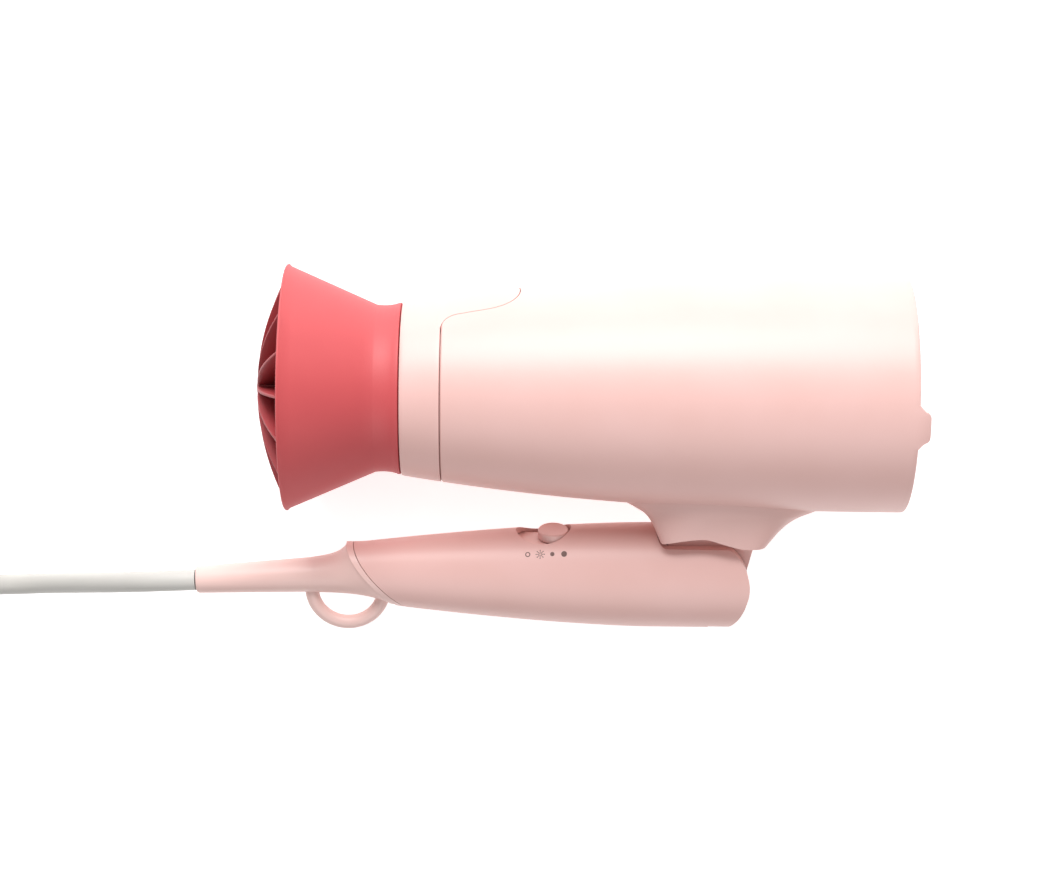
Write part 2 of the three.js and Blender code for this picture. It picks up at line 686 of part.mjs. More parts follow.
function switchPlate() {
  const sheet = solid(block(
    [slotStart - 1, slotStart + slotLength + switchTravel + 1],
    [plateTop - plateThickness, plateTop], [-plateHalfWidth, plateHalfWidth]));
  const hole = solid(block([knobX - stemHalf - gap, knobX + stemHalf + gap],
    [plateTop - 2, plateTop + 1], [-stemHalf - gap, stemHalf + gap]));
  return shell(cut(sheet, hole));
}

const switchBox = {
  x: [slotStart - 1, slotStart + slotLength + 2],
  y: [handleY - 1, channelTop - plateThickness - 3 * gap],
  z: [-2.7, 2.7],
};

function switchBody() {
  const low = solid(block(switchBox.x, [switchBox.y[0] - 5, switchBox.y[0] + 6], [-5.5, 5.5]));
  const neck = solid(block(switchBox.x.map((x, i) => x + (i ? -2.4 : 2.4)), switchBox.y, switchBox.z));
  const way = solid(block([knobX - switchTravel - stemHalf - 2 * gap, knobX + stemHalf + 2 * gap],
    [plateTop - 8, plateTop], [-stemHalf - gap, stemHalf + gap]));
  return shell(cut(join(low, neck), way));
}

const contactBridge = () => block([knobX - 1.4, knobX + 1.4],
  [plateTop - 7, plateTop - 5 - gap], [-stemHalf, stemHalf]);

const terminal = (i) => block([switchBox.x[0] - 3, switchBox.x[0] - gap],
  [switchBox.y[0] - 2, switchBox.y[0] + 2], [-4 + 3.2 * i, -3.2 + 3.2 * i]);

// ---- End cap, cord guard and hanging loop ----------------------------------------------------

const leanY = (x) => handleY - 0.9 + (x - reliefStart) * Math.tan(rad(reliefLean));
const reliefEnd = reliefStart - reliefLength * Math.cos(rad(reliefLean));

function alongRelief(geometry) {
  return geometry.rotateZ(rad(reliefLean)).translate(reliefStart, leanY(reliefStart), 0);
}

function endCap() {
  const plan = solid(plate(outlineOf([...seam(-gap), [-60, handleY - 24], [-60, handleY + 24]]), -30, 30));
  const root = handleTip - 9;
  const flare = [[-12, 5.4], [-9, 6.6], [-4.4, 8.1], [0, 9.1], [5, 9.9], [13, 11.3], [24, 12.8]];
  const skin = (inset) => [
    [handleTip - 12, 0], ...flare.map(([x, r]) => [handleTip + x, r * tipRadius / 10.3 - inset]),
    [handleTip + 24, 0],
  ];
  const shoulder = solid(turned(skin(0)).scale(1, 1, 0.9).translate(0, handleY + 0.4, 0)).intersect(plan);
  const lip = handleSkin(handleTip - 6, handleTip + 24, 0, 5).intersect(plan);
  const lipBand = cut(lip, solid(plate(outlineOf([
    ...seam(-gap - lipWidth), [-60, handleY - 24], [-60, handleY + 24]]), -30, 30)));
  const guard = solid(alongRelief(turned([
    [5, 0], [5, reliefRootRadius], [0, reliefRootRadius], [-reliefLength + 0.8, reliefTipRadius],
    [-reliefLength, reliefTipRadius - 0.6], [-reliefLength, 0],
  ], 24)));
  const ring = new THREE.TorusGeometry(loopRadius, loopSection / 2, 8, 24);
  const loop = solid(closed(ring.translate(loopX, handleY - loopDrop, 0)));
  const bore = solid(alongRelief(rodX(-reliefLength - 1, 8, cordDiameter / 2 + gap)));
  const inside = cut(
    solid(turned(skin(wall)).scale(1, 1, 0.9).translate(0, handleY + 0.4, 0)),
    solid(block([-80, root + 3], [handleY - 30, handleY + 30], [-30, 30])),
  );
  return shell(cut(join(guard, cut(join(shoulder, lipBand, cut(loop, inside)), inside)), bore));
}

// ---- Cord ------------------------------------------------------------------------------------

const floorZ = -nozzleRadius;
const cordRadius = cordDiameter / 2;
const coilHeight = coilLayers * cordDiameter;
const coilOuter = coilMidRadius + coilColumns * cordRadius;
const coilInner = coilMidRadius - coilColumns * cordRadius;

// The cord's route from the guard to its coil, chosen by hand.
const cordRoute = [
  [-69.8, -67.7, 0], [-75, -68, -0.1], [-81, -68.5, -0.7], [-87, -69.3, -2.1], [-93, -70.4, -4.5],
  [-99, -71.9, -7.9], [-105, -73.6, -12.1], [-111, -75.5, -16.8], [-117, -77.4, -21.5],
  [-123, -79.2, -25.9], [-129, -80.8, -29.6], [-135, -82.1, -32.4], [-142, -83.1, -34.5],
  [-150, -83.6, -35.5], [-158, -83.6, -35.6], [-169.6, -83.3, -35.6],
];
const coilY = -83.3 + coilMidRadius + cordRadius;

// The short stretch from the top of the coil to the plug.
const plugRoute = [
  [-194, -83.3, -14.1], [-203, -82, -12.6], [-211, -78, -11.3], [-217.5, -72, -10.4],
  [-220.6, -66, -9.9], [-221, -62, -9.8],
];

function cordCoil() {
  const base = floorZ + coilLift;
  const profile = [
    [coilInner, base], [coilOuter, base], [coilOuter, base + coilHeight],
    [coilInner, base + coilHeight], [coilInner, base],
  ].map(([r, z]) => new THREE.Vector2(r, z));
  const ring = new THREE.LatheGeometry(profile, 32).rotateX(Math.PI / 2);
  return closed(ring.translate(coilX, coilY, 0));
}

function cordTie() {
  const base = floorZ + coilLift;
  const x0 = coilX + coilInner - gap;
  const x1 = coilX + coilOuter + gap;
  const width = 5;
  const thickness = 0.8;
  const outer = block([x0 - thickness, x1 + thickness], [coilY - width / 2, coilY + width / 2],
    [base - gap - thickness, base + coilHeight + gap + thickness]);
  const inner = block([x0, x1], [coilY - width, coilY + width], [base - gap, base + coilHeight + gap]);
  return shell(cut(solid(outer), solid(inner)));
}

const plugX = -221;
const plugY = -61.6;
const plugZ = floorZ + coilLift + coilHeight + gap + plugThickness / 2;

function plugBody() {
  const half = plugWidth / 2;
  const neckY = 8;
  const shape = new THREE.Shape();
  shape.moveTo(-5, 0);
  shape.lineTo(5, 0);
  shape.lineTo(6.5, neckY);
  shape.quadraticCurveTo(half - 3, neckY + 3, half - 1, neckY + 14);
  shape.lineTo(half, plugLength);
  shape.lineTo(-half, plugLength);
  shape.lineTo(-half + 1, neckY + 14);
  shape.quadraticCurveTo(-half + 3, neckY + 3, -6.5, neckY);
  shape.lineTo(-5, 0);
  const body = plate(shape, -plugThickness / 2, plugThickness / 2, 2);
  const holes = [-1, 1].map((side) =>
    solid(closed(new THREE.CylinderGeometry(plugPinRadius + gap, plugPinRadius + gap, 12, smallSides)
      .translate(side * pinSpacing / 2, plugLength - 2, 0))));
  return shell(cut(solid(body), ...holes)).translate(plugX, plugY, plugZ);
}

function plugPin(side) {
  const pin = new THREE.CylinderGeometry(plugPinRadius, plugPinRadius, plugPinLength + 6, smallSides);
  const y = plugY + plugLength + (plugPinLength - 6) / 2;
  return closed(pin.translate(plugX + side * pinSpacing / 2, y, plugZ));
}

// ---- Assembly --------------------------------------------------------------------------------

piece('main_housing', mainHousing(), palePink);
piece('front_cover', frontCover(), palePink);
piece('inlet_grille', inletGrille(), coral);
piece('dust_filter', dustFilter(), blackPlastic);

piece('nozzle_bell', nozzleBell(), coral);
piece('nozzle_grille', nozzleGrille(), darkCoral);

piece('outlet_grille', outletGrille(), blackPlastic);
piece('heat_shield', heatShield(), mica);
piece('mica_plate_upright', micaPlate(true), mica);
piece('mica_plate_level', micaPlate(false).rotateX(Math.PI / 2), mica);
piece('heater_coil_1', heaterCoil(0.4), heaterWire);
piece('heater_coil_2', heaterCoil(0.4 + Math.PI), heaterWire);
piece('thermostat', block([heaterStart + 14, heaterStart + 24], [4, 12], [1, 4.5]), steel);
piece('thermal_fuse', rodX(heaterStart + 12, heaterStart + 24, 1.8, 12).translate(0, -8, 2.6), whitePlastic);

piece('fan_duct', fanDuct(), whitePlastic);
around(3, (angle, i) => piece(`duct_screw_${i + 1}`, screwX(angle), steel));
piece('motor', motor(), steel);
piece('motor_shaft', motorShaft(), steel);
piece('impeller', impeller(), blackPlastic);
piece('rectifier_board', tubeX(ductStart - 4, ductStart - 2.4, motorRadius, 3, 24), boardGreen);
around(diodeCount, (angle, i) => piece(`diode_${i + 1}`,
  rodX(ductStart - 8, ductStart - 4 - gap, 1.3, 10).translate(0, motorRadius * 0.65, 0)
    .rotateX(angle + Math.PI / 4), blackPlastic));
piece('barrel_lead', wire([
  [hingeX - 12.5, handleY + 5.5, 0], [hingeX - 8, handleY + 13, 0], [hingeX - 7, handleY + 22, 0],
  [hingeX - 13, handleY + 27, 0], [hingeX - 22, handleY + 30, 0], [hingeX - 32, handleY + 31.35, 0],
  [hingeX - 37, handleY + 33, 0], [hingeX - 40, handleY + 38, 0], [hingeX - 40, handleY + 46, 0],
], 0.9), blackPlastic);

piece('handle_half_left', handleHalf(1), palePink);
piece('handle_half_right', handleHalf(-1), palePink);
bossPlaces.forEach((x, i) => piece(`handle_screw_${i + 1}`, handleScrew(x), steel));
piece('end_cap', endCap(), capPink);

piece('pivot_pin', rodZ(...hinge, -pinHalfLength, pinHalfLength, pinRadius, 24), steel);
[-1, 1].forEach((side, i) => {
  const [z0, z1] = side > 0 ? [tongueHalf + 0.2, tongueHalf + 1] : [-tongueHalf - 1, -tongueHalf - 0.2];
  const washer = cut(
    solid(rodZ(...hinge, z0, z1, 7.3, 24)), solid(rodZ(...hinge, -20, 20, pinRadius + gap, 24)));
  piece(`pivot_washer_${i + 1}`, shell(washer), brass);
});
piece('fold_plunger', rodX(hingeX - 22, hingeX - tongueRadius + 0.5, 1.6, 12).translate(0, handleY - 7, 0), steel);
piece('fold_spring', wire(stations(0, 1, 40).map((t) => [
  hingeX - 30 + 7.4 * t, handleY - 7 + 1.5 * Math.cos(10 * Math.PI * t), 1.5 * Math.sin(10 * Math.PI * t),
]), 0.3, 4, 32), steel);

piece('switch_knob', switchKnob(), palePink);
piece('switch_plate', switchPlate(), capPink);
piece('switch_body', switchBody(), blackPlastic);
piece('contact_bridge', contactBridge(), brass);
[0, 1, 2].forEach((i) => piece(`terminal_${i + 1}`, terminal(i), brass));

piece('cord_tail', wire([
  [reliefEnd + 0.5, leanY(reliefEnd + 0.5), 0], [-45, leanY(-45), 0], [reliefStart, leanY(reliefStart), 0],
  [-8, handleY, 0], [clampX + 5, handleY, 0],
], cordRadius, 8, 10), cordGrey);
piece('cord_clamp', block(
  [clampX - 2.5, clampX + 2.5], [handleY - clampHalf, handleY + clampHalf], [3.8, 5.2],
), blackPlastic);
piece('live_wire', wire([
  [clampX + 5.6, handleY + 1.4, 1], [clampX + 9, handleY + 5.6, 1], [clampX + 14, handleY + 6.6, 0],
  [clampX + 20, handleY + 4, -2], [switchBox.x[0] - 3.6, handleY - 1, -3.6],
], 0.9), copperRed);
piece('neutral_wire', wire([
  [clampX + 5.6, handleY - 1.4, -1], [clampX + 9, handleY - 5.6, -1], [clampX + 14, handleY - 6.6, 0],
  [clampX + 20, handleY - 4, 2], [switchBox.x[0] - 3.6, handleY - 1, 2.8],
], 0.9), copperBlue);
piece('hinge_lead', wire([
  [switchBox.x[1] + 0.5, handleY + 3, 0], [64, handleY + 5.5, 0], [70, handleY + 5.7, 0],
  [76, handleY + 3.5, 0], [79.5, handleY + 0.4, 0], [hingeX - 17.2, handleY, 0],
], 1.3), blackPlastic);

piece('mains_cord', wire(cordRoute, cordRadius, 8, 26), cordGrey, loose);
piece('cord_coil', cordCoil(), cordGrey, loose);
piece('plug_lead', wire(plugRoute, cordRadius, 8, 8), cordGrey, loose);
piece('cord_tie', cordTie(), blackPlastic, loose);
piece('plug_body', plugBody(), cordGrey, loose);
piece('plug_pin_1', plugPin(-1), brass, loose);
piece('plug_pin_2', plugPin(1), brass, loose);

// The origin is under the middle of the dryer, on the surface that it lies on.
dryer.remove(loose);
const box = new THREE.Box3().setFromObject(dryer);
dryer.add(loose);
dryer.position.set(-(box.min.x + box.max.x) / 2, -(box.min.y + box.max.y) / 2, -box.min.z);

export default dryer;
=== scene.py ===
"""A folding hair dryer lying on a pale table, with its handle folded under the barrel.

The sizes below are millimetres in the dryer's own frame: X runs along the barrel's axis with the
nozzle at -X, Y is the top of the dryer, and Z is across it. settle() moves a finished piece into the
shared frame in metres.
"""

import json
import math

import bmesh
import bpy
from mathutils import Matrix, Vector


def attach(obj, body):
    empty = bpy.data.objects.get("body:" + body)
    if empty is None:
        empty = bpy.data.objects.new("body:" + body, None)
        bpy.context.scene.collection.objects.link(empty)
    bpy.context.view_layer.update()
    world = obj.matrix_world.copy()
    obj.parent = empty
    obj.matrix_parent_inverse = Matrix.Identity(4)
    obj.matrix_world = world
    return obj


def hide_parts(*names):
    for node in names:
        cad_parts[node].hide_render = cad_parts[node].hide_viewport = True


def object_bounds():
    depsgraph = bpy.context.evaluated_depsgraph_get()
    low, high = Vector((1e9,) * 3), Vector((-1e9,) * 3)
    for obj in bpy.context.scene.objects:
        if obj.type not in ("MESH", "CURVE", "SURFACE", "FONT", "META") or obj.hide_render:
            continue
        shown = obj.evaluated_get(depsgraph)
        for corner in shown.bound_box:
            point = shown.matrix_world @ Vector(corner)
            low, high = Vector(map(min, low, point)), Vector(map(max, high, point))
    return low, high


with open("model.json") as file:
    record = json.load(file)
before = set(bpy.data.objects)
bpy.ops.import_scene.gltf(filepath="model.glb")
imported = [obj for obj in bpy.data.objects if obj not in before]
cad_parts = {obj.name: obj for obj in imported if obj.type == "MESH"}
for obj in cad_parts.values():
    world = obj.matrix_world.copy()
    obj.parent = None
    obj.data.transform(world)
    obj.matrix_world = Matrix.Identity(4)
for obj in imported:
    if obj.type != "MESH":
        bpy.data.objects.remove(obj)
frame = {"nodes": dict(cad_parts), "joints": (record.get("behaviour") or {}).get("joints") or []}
cad_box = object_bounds()

MM = 0.001
HINGE = (99, -64)
FOLD = next(j for j in frame["joints"] if j["name"] == "handle_fold")
HOME = Vector(FOLD["pos_m"]) - Vector((HINGE[0], HINGE[1], 0)) * MM

# ---- Sizes ----------------------------------------------------------------------------------

GAP = 0.3
WALL = 2.2
BARREL_LENGTH = 164.3
FRONT_RADIUS = 28.5
REAR_RADIUS = 39
COVER_LENGTH = 12.9
NOZZLE_RADIUS = 40.4
NOZZLE_LENGTH = 38
NOZZLE_WALL = 1.8
WAIST_RADIUS = 27
SPIGOT_RADIUS = 25
DOME_RISE = 9.3
RIM_WALL = 1.8
RIM_DEPTH = 12  # recess for the rear grille
LUG_HEIGHT = 3.6
TONGUE_REACH = 25.3  # the front cover's tongue
HINGE_TONGUE_HALF = 6.5
HINGE_TONGUE_RADIUS = 15
PIN_RADIUS = 3
EAR_TOP = 12.7  # the handle's flat top at the hinge, above the hinge
HANDLE_Y = -64
HANDLE_RADIUS = 17.8
TIP_RADIUS = 10.3
HANDLE_FLATTEN = 0.85
HANDLE_TIP = -13.6
TABLE_Z = -NOZZLE_RADIUS
CORD_DIAMETER = 7
CORD_RADIUS = CORD_DIAMETER / 2
RELIEF_START = -24
RELIEF_LEAN = math.radians(3.4)
RELIEF_LENGTH = 45.5
LIP_WIDTH = 2.2  # band along the cap's joint
LOOP_X = -18.7
LOOP_DROP = 6
LOOP_RADIUS = 12.1
LOOP_SECTION = 4.6


def barrel_radius(x):
    left = 1 - min(max(x / BARREL_LENGTH, 0), 1)
    return REAR_RADIUS - (REAR_RADIUS - FRONT_RADIUS) * left**2.5


def handle_radius(x):
    left = 1 - min(max((x - HANDLE_TIP) / 95, 0), 1)
    return HANDLE_RADIUS - (HANDLE_RADIUS - TIP_RADIUS) * left**1.53


def lean_y(x):
    """Height of the cord guard's middle line."""
    return HANDLE_Y - 0.9 + (x - RELIEF_START) * math.tan(RELIEF_LEAN)


def steps(start, end, count):
    return [start + (end - start) * i / count for i in range(count + 1)]


def curve_points(start, control, end, count=10):
    """Points of a quadratic curve, its start left out."""
    return [
        tuple(
            (1 - t) ** 2 * a + 2 * t * (1 - t) * b + t * t * c
            for a, b, c in zip(start, control, end)
        )
        for t in steps(0, 1, count)[1:]
    ]


def through(points, count=5):
    """A smooth line through the given points."""
    ends = [points[0], *points, points[-1]]
    line = [points[0]]
    for before, a, b, after in zip(ends, ends[1:], ends[2:], ends[3:]):
        for t in steps(0, 1, count)[1:]:
            line.append(tuple(
                0.5 * (2 * q + (r - p) * t + (2 * p - 5 * q + 4 * r - s) * t * t
                       + (3 * q - p - 3 * r + s) * t**3)
                for p, q, r, s in zip(before, a, b, after)
            ))
    return line


def arc(cx, cy, radius, start, end, count):
    """Points round a centre, between two angles in degrees."""
    return [
        (cx + radius * math.cos(math.radians(a)), cy + radius * math.sin(math.radians(a)))
        for a in steps(start, end, count)
    ]


# ---- Finishes -------------------------------------------------------------------------------


def linear(hex_colour):
    parts = [(hex_colour >> shift & 255) / 255 for shift in (16, 8, 0)]
    return [p / 12.92 if p <= 0.04045 else ((p + 0.055) / 1.055) ** 2.4 for p in parts] + [1]


def moulded(name, colour, shade, roughness=0.42, grain=900.0, depth=0.00003, metallic=0.0, sheen=0.0):
    """A moulded or drawn finish: two close colours in soft clouds, fine grain, and uneven gloss."""
    material = bpy.data.materials.new(name)
    material.use_nodes = True
    nodes, links = material.node_tree.nodes, material.node_tree.links
    surface = nodes["Principled BSDF"]
    surface.inputs["Metallic"].default_value = metallic
    surface.inputs["Sheen Weight"].default_value = sheen
    surface.inputs["IOR"].default_value = 1.48
    place = nodes.new("ShaderNodeTexCoord")
    clouds = nodes.new("ShaderNodeTexNoise")
    clouds.inputs["Scale"].default_value = 38.0
    clouds.inputs["Detail"].default_value = 3.0
    links.new(place.outputs["Object"], clouds.inputs["Vector"])
    tones = nodes.new("ShaderNodeValToRGB")
    tones.color_ramp.elements[0].position = 0.3
    tones.color_ramp.elements[0].color = linear(shade)
    tones.color_ramp.elements[1].position = 0.7
    tones.color_ramp.elements[1].color = linear(colour)
    links.new(clouds.outputs["Fac"], tones.inputs["Fac"])
    links.new(tones.outputs["Color"], surface.inputs["Base Color"])
    gloss = nodes.new("ShaderNodeMapRange")
    gloss.inputs["To Min"].default_value = roughness - 0.05
    gloss.inputs["To Max"].default_value = roughness + 0.07
    links.new(clouds.outputs["Fac"], gloss.inputs["Value"])
    links.new(gloss.outputs["Result"], surface.inputs["Roughness"])
    pores = nodes.new("ShaderNodeTexNoise")
    pores.inputs["Scale"].default_value = grain
    pores.inputs["Detail"].default_value = 2.0
    links.new(place.outputs["Object"], pores.inputs["Vector"])
    bump = nodes.new("ShaderNodeBump")
    bump.inputs["Strength"].default_value = 0.35
    bump.inputs["Distance"].default_value = depth
    links.new(pores.outputs["Fac"], bump.inputs["Height"])
    links.new(bump.outputs["Normal"], surface.inputs["Normal"])
    return material


FINISHES = {
    "pale_pink": moulded("pale_pink", 0xEABFB9, 0xE7BBB4, 0.4),
    "cap_pink": moulded("cap_pink", 0xEFCBC4, 0xECC6BF, 0.38),
    "coral": moulded("coral", 0xCB5356, 0xC74F53, 0.5),
    # dark_coral is the coral darkened with painted shade, standing for the shadow deep inside the nozzle
    # where the grille's ribs sit.
    "dark_coral": moulded("dark_coral", 0xA8383D, 0xA03338, 0.5),
    "cord_grey": moulded("cord_grey", 0xCBC8C3, 0xC5C2BD, 0.5, 1400.0, 0.00002),
    "black_plastic": moulded("black_plastic", 0x2B2A2D, 0x222125, 0.48),
    "white_plastic": moulded("white_plastic", 0xE6E1D9, 0xDDD8CF, 0.45),
    "mica": moulded("mica", 0xB9A57C, 0x9E8B66, 0.55, 500.0, 0.00008, sheen=0.2),
    "steel": moulded("steel", 0xA9ABAE, 0x9A9CA0, 0.3, 1600.0, 0.00001, metallic=1.0),
    "brass": moulded("brass", 0xC9A96A, 0xB8985A, 0.32, 1600.0, 0.00001, metallic=1.0),
    "heater_wire": moulded("heater_wire", 0x8B8279, 0x71695F, 0.42, 1500.0, 0.00001, metallic=1.0),
    "board": moulded("board", 0x35754C, 0x2B6541, 0.5),
    "red_insulation": moulded("red_insulation", 0xA8403A, 0x9B3832, 0.45),
    "blue_insulation": moulded("blue_insulation", 0x4467A8, 0x3B5C99, 0.45),
    "print_brown": moulded("print_brown", 0x7A615B, 0x735A54, 0.6),
}

# ---- Making pieces --------------------------------------------------------------------------


def settle(bm, name, finish, body, stands_for=(), crease=32):
    """Makes the shape a piece of the dryer: in the shared frame, painted, and riding on its body."""
    bmesh.ops.scale(bm, vec=(MM, MM, MM), verts=bm.verts)
    bmesh.ops.translate(bm, vec=HOME, verts=bm.verts)
    for face in bm.faces:
        face.smooth = True
    for edge in bm.edges:
        edge.smooth = edge.calc_face_angle(0) < math.radians(crease)
    mesh = bpy.data.meshes.new(name)
    bm.to_mesh(mesh)
    bm.free()
    mesh.materials.append(FINISHES[finish])
    piece = bpy.data.objects.new(name, mesh)
    bpy.context.collection.objects.link(piece)
    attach(piece, body)
    if stands_for:
        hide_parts(*stands_for)
    return piece


def tidied(bm):
    """Doubles merged, slivers closed, faces pointing outwards."""
    bmesh.ops.remove_doubles(bm, verts=bm.verts, dist=0.0005)
    bmesh.ops.dissolve_degenerate(bm, edges=bm.edges, dist=0.0002)
    bmesh.ops.recalc_face_normals(bm, faces=bm.faces)
    return bm


def spun(profile, sides=128, closed=False):
    """A round shape about the X axis from (x, radius) points."""
    bm = bmesh.new()
    verts = [bm.verts.new((x, radius, 0)) for x, radius in profile]
    edges = [bm.edges.new(pair) for pair in zip(verts, verts[1:])]
    if closed:
        edges.append(bm.edges.new((verts[-1], verts[0])))
    bmesh.ops.spin(
        bm, geom=verts + edges, cent=(0, 0, 0), axis=(1, 0, 0), angle=2 * math.pi,
        steps=sides, use_merge=True, use_duplicate=False,
    )
    return tidied(bm)


def slab(outline, z0, z1, rounding=0.0, segments=4):
    """An outline in X and Y, pulled along Z, its two faces' edges rounded."""
    bm = bmesh.new()
    face = bm.faces.new([bm.verts.new((x, y, z0)) for x, y in outline])
    grown = bmesh.ops.extrude_face_region(bm, geom=[face])["geom"]
    moved = [g for g in grown if isinstance(g, bmesh.types.BMVert)]
    bmesh.ops.translate(bm, vec=(0, 0, z1 - z0), verts=moved)
    tidied(bm)
    if rounding:
        rims = [e for e in bm.edges if abs(e.verts[0].co.z - e.verts[1].co.z) < 1e-6]
        bmesh.ops.bevel(
            bm, geom=rims, offset=rounding, offset_type="OFFSET", segments=segments,
            profile=0.5, affect="EDGES", material=-1, clamp_overlap=True,
        )
    return bm


def rod(x, y, z0, z1, radius, sides=64, rounding=0.0):
    """A round bar along Z."""
    return slab(arc(x, y, radius, 0, 360 - 360 / sides, sides - 1), z0, z1, rounding)


def block(xs, ys, zs, rounding=0.0):
    """A box between pairs of X, Y and Z."""
    bm = bmesh.new()
    bmesh.ops.create_cube(bm, size=1)
    bmesh.ops.scale(bm, vec=(xs[1] - xs[0], ys[1] - ys[0], zs[1] - zs[0]), verts=bm.verts)
    bmesh.ops.translate(
        bm, vec=((xs[0] + xs[1]) / 2, (ys[0] + ys[1]) / 2, (zs[0] + zs[1]) / 2), verts=bm.verts
    )
    if rounding:
        bmesh.ops.bevel(
            bm, geom=bm.edges[:], offset=rounding, offset_type="OFFSET", segments=3,
            profile=0.5, affect="EDGES", material=-1, clamp_overlap=True,
        )
    return bm


def lofted(rings):
    """A closed skin through rings of points that have the same count."""
    bm = bmesh.new()
    loops = []
    for ring in rings:
        verts = [bm.verts.new(p) for p in ring]
        loops.append([bm.edges.new(pair) for pair in zip(verts, verts[1:] + verts[:1])])
        if ring in (rings[0], rings[-1]):
            bm.faces.new(verts)
    for low, high in zip(loops, loops[1:]):
        bmesh.ops.bridge_loops(bm, edges=low + high)
    return tidied(bm)


def turned(bm, matrix):
    """The shape moved by a matrix."""
    bmesh.ops.transform(bm, matrix=matrix, verts=bm.verts)
    bmesh.ops.recalc_face_normals(bm, faces=bm.faces)
    return bm


def repeated(make, count, start=0.0):
    """The shapes of make(), set round the X axis in one bmesh."""
    turns = [start + 2 * math.pi * i / count for i in range(count)]
    return merged(*[turned(make(), Matrix.Rotation(turn, 4, "X")) for turn in turns])


def merged(*shapes):
    """Several shapes in one bmesh, not cut by each other."""
    out = bmesh.new()
    for bm in shapes:
        spare = bpy.data.meshes.new("spare")
        bm.to_mesh(spare)
        bm.free()
        out.from_mesh(spare)
        bpy.data.meshes.remove(spare)
    return out


def carved(bm, *work):
    """The shape after a row of ("UNION" or "DIFFERENCE" or "INTERSECT", other shape) steps."""
    def stand_in(shape):
        mesh = bpy.data.meshes.new("blank")
        shape.to_mesh(mesh)
        shape.free()
        obj = bpy.data.objects.new("blank", mesh)
        bpy.context.collection.objects.link(obj)
        return obj

    blank = stand_in(bm)
    tools = []
    for how, other in work:
        tools.append(stand_in(other))
        cut = blank.modifiers.new("cut", "BOOLEAN")
        cut.operation = how
        cut.solver = "MANIFOLD"
        cut.object = tools[-1]
    view = bpy.context.evaluated_depsgraph_get()
    out = bmesh.new()
    out.from_mesh(blank.evaluated_get(view).to_mesh())
    for obj in [blank, *tools]:
        mesh = obj.data
        bpy.data.objects.remove(obj)
        bpy.data.meshes.remove(mesh)
    bmesh.ops.remove_doubles(out, verts=out.verts, dist=0.001)
    return out


# ---- Camera ---------------------------------------------------------------------------------


def set_camera():
    tilt, roll = math.radians(17.5), math.radians(0.6)
    back = Vector((0, math.sin(tilt), math.cos(tilt)))
    level = Vector((1, 0, 0))
    upright = Vector((0, math.cos(tilt), -math.sin(tilt)))
    right = level * math.cos(roll) + upright * math.sin(roll)
    up = upright * math.cos(roll) - level * math.sin(roll)
    data = bpy.data.cameras.new("camera")
    data.sensor_width = 36
    data.lens = 88.6
    data.clip_start = 0.05
    camera = bpy.data.objects.new("camera", data)
    bpy.context.collection.objects.link(camera)
    turn = Matrix((right, up, back)).transposed().to_4x4()
    spot = Vector((41.3, -18.3, 0)) * MM + HOME + back * 0.858
    camera.matrix_world = Matrix.Translation(spot) @ turn
    bpy.context.scene.camera = camera


set_camera()

# ---- Mains cord -----------------------------------------------------------------------------

COIL_X = -194
COIL_RADIUS = 37.5
COIL_Y = -83.3 + COIL_RADIUS + CORD_RADIUS
COIL_BASE = TABLE_Z + 1.3
COIL_TURNS = 5
PLUG = (-221, -61.6, COIL_BASE + 21 + GAP + 7.5)
TURN_POINTS = 24


def eased(turn, start):
    """0 before a quarter turn that begins at start, 1 after it."""
    share = min(max((turn - start) / 0.25, 0), 1)
    return share * share * (3 - 2 * share)


def cord_line():
    """From the guard, over the table, up through three layers of turns, and back to the plug."""
    line = [
        (-69.8, -67.7, 0), (-75, -68, -0.1), (-81, -68.5, -0.7), (-87, -69.3, -2.1),
        (-93, -70.4, -4.5), (-99, -71.9, -7.9), (-105, -73.6, -12.1), (-111, -75.5, -16.8),
        (-117, -77.4, -21.5), (-123, -79.2, -25.9), (-129, -80.8, -29.6), (-135, -82.1, -32.4),
        (-142, -83.1, -34.5), (-150, -83.6, -35.5), (-158, -83.6, -35.6), (-169.6, -83.3, -35.6),
        (-182, -83.3, -35.6),
    ]
    for turn in steps(0, COIL_TURNS, COIL_TURNS * TURN_POINTS):
        inward = eased(turn, 0.75) - eased(turn, 2.25) + eased(turn, 3.75) - eased(turn, 4.5)
        radius = COIL_RADIUS + CORD_RADIUS - CORD_DIAMETER * inward
        layer = eased(turn, 1.5) + eased(turn, 3) + 1.07 * eased(turn, 4.25)
        angle = -math.pi / 2 - 2 * math.pi * turn
        line.append((
            COIL_X + radius * math.cos(angle),
            COIL_Y + radius * math.sin(angle),
            COIL_BASE + CORD_RADIUS + CORD_DIAMETER * layer,
        ))
    line += [
        (-203, -82, -12.6), (-211, -78, -11.3), (-217.5, -72, -10.4), (-220.6, -66, -9.9),
        (-221, -62, -9.8),
    ]
    return [Vector(p) * MM + HOME for p in line]


def mains_cord():
    data = bpy.data.curves.new("mains_lead", "CURVE")
    data.dimensions = "3D"
    data.bevel_depth = CORD_RADIUS * MM
    data.bevel_resolution = 6
    data.use_fill_caps = True
    data.resolution_u = 4
    spline = data.splines.new("BEZIER")
    line = cord_line()
    spline.bezier_points.add(len(line) - 1)
    for point, place in zip(spline.bezier_points, line):
        point.co = place
        point.handle_left_type = point.handle_right_type = "AUTO"
    data.materials.append(FINISHES["cord_grey"])
    lead = bpy.data.objects.new("mains_lead", data)
    bpy.context.collection.objects.link(lead)
    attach(lead, "handle")
    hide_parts("mains_cord", "cord_coil", "plug_lead")
    return lead


LEAD = mains_cord()

# ---- Barrel ---------------------------------------------------------------------------------


def barrel_skin(start, end, inset, rows=40):
    xs = steps(start, end, rows)
    return spun([(start, 0)] + [(x, barrel_radius(x) - inset) for x in xs] + [(end, 0)])


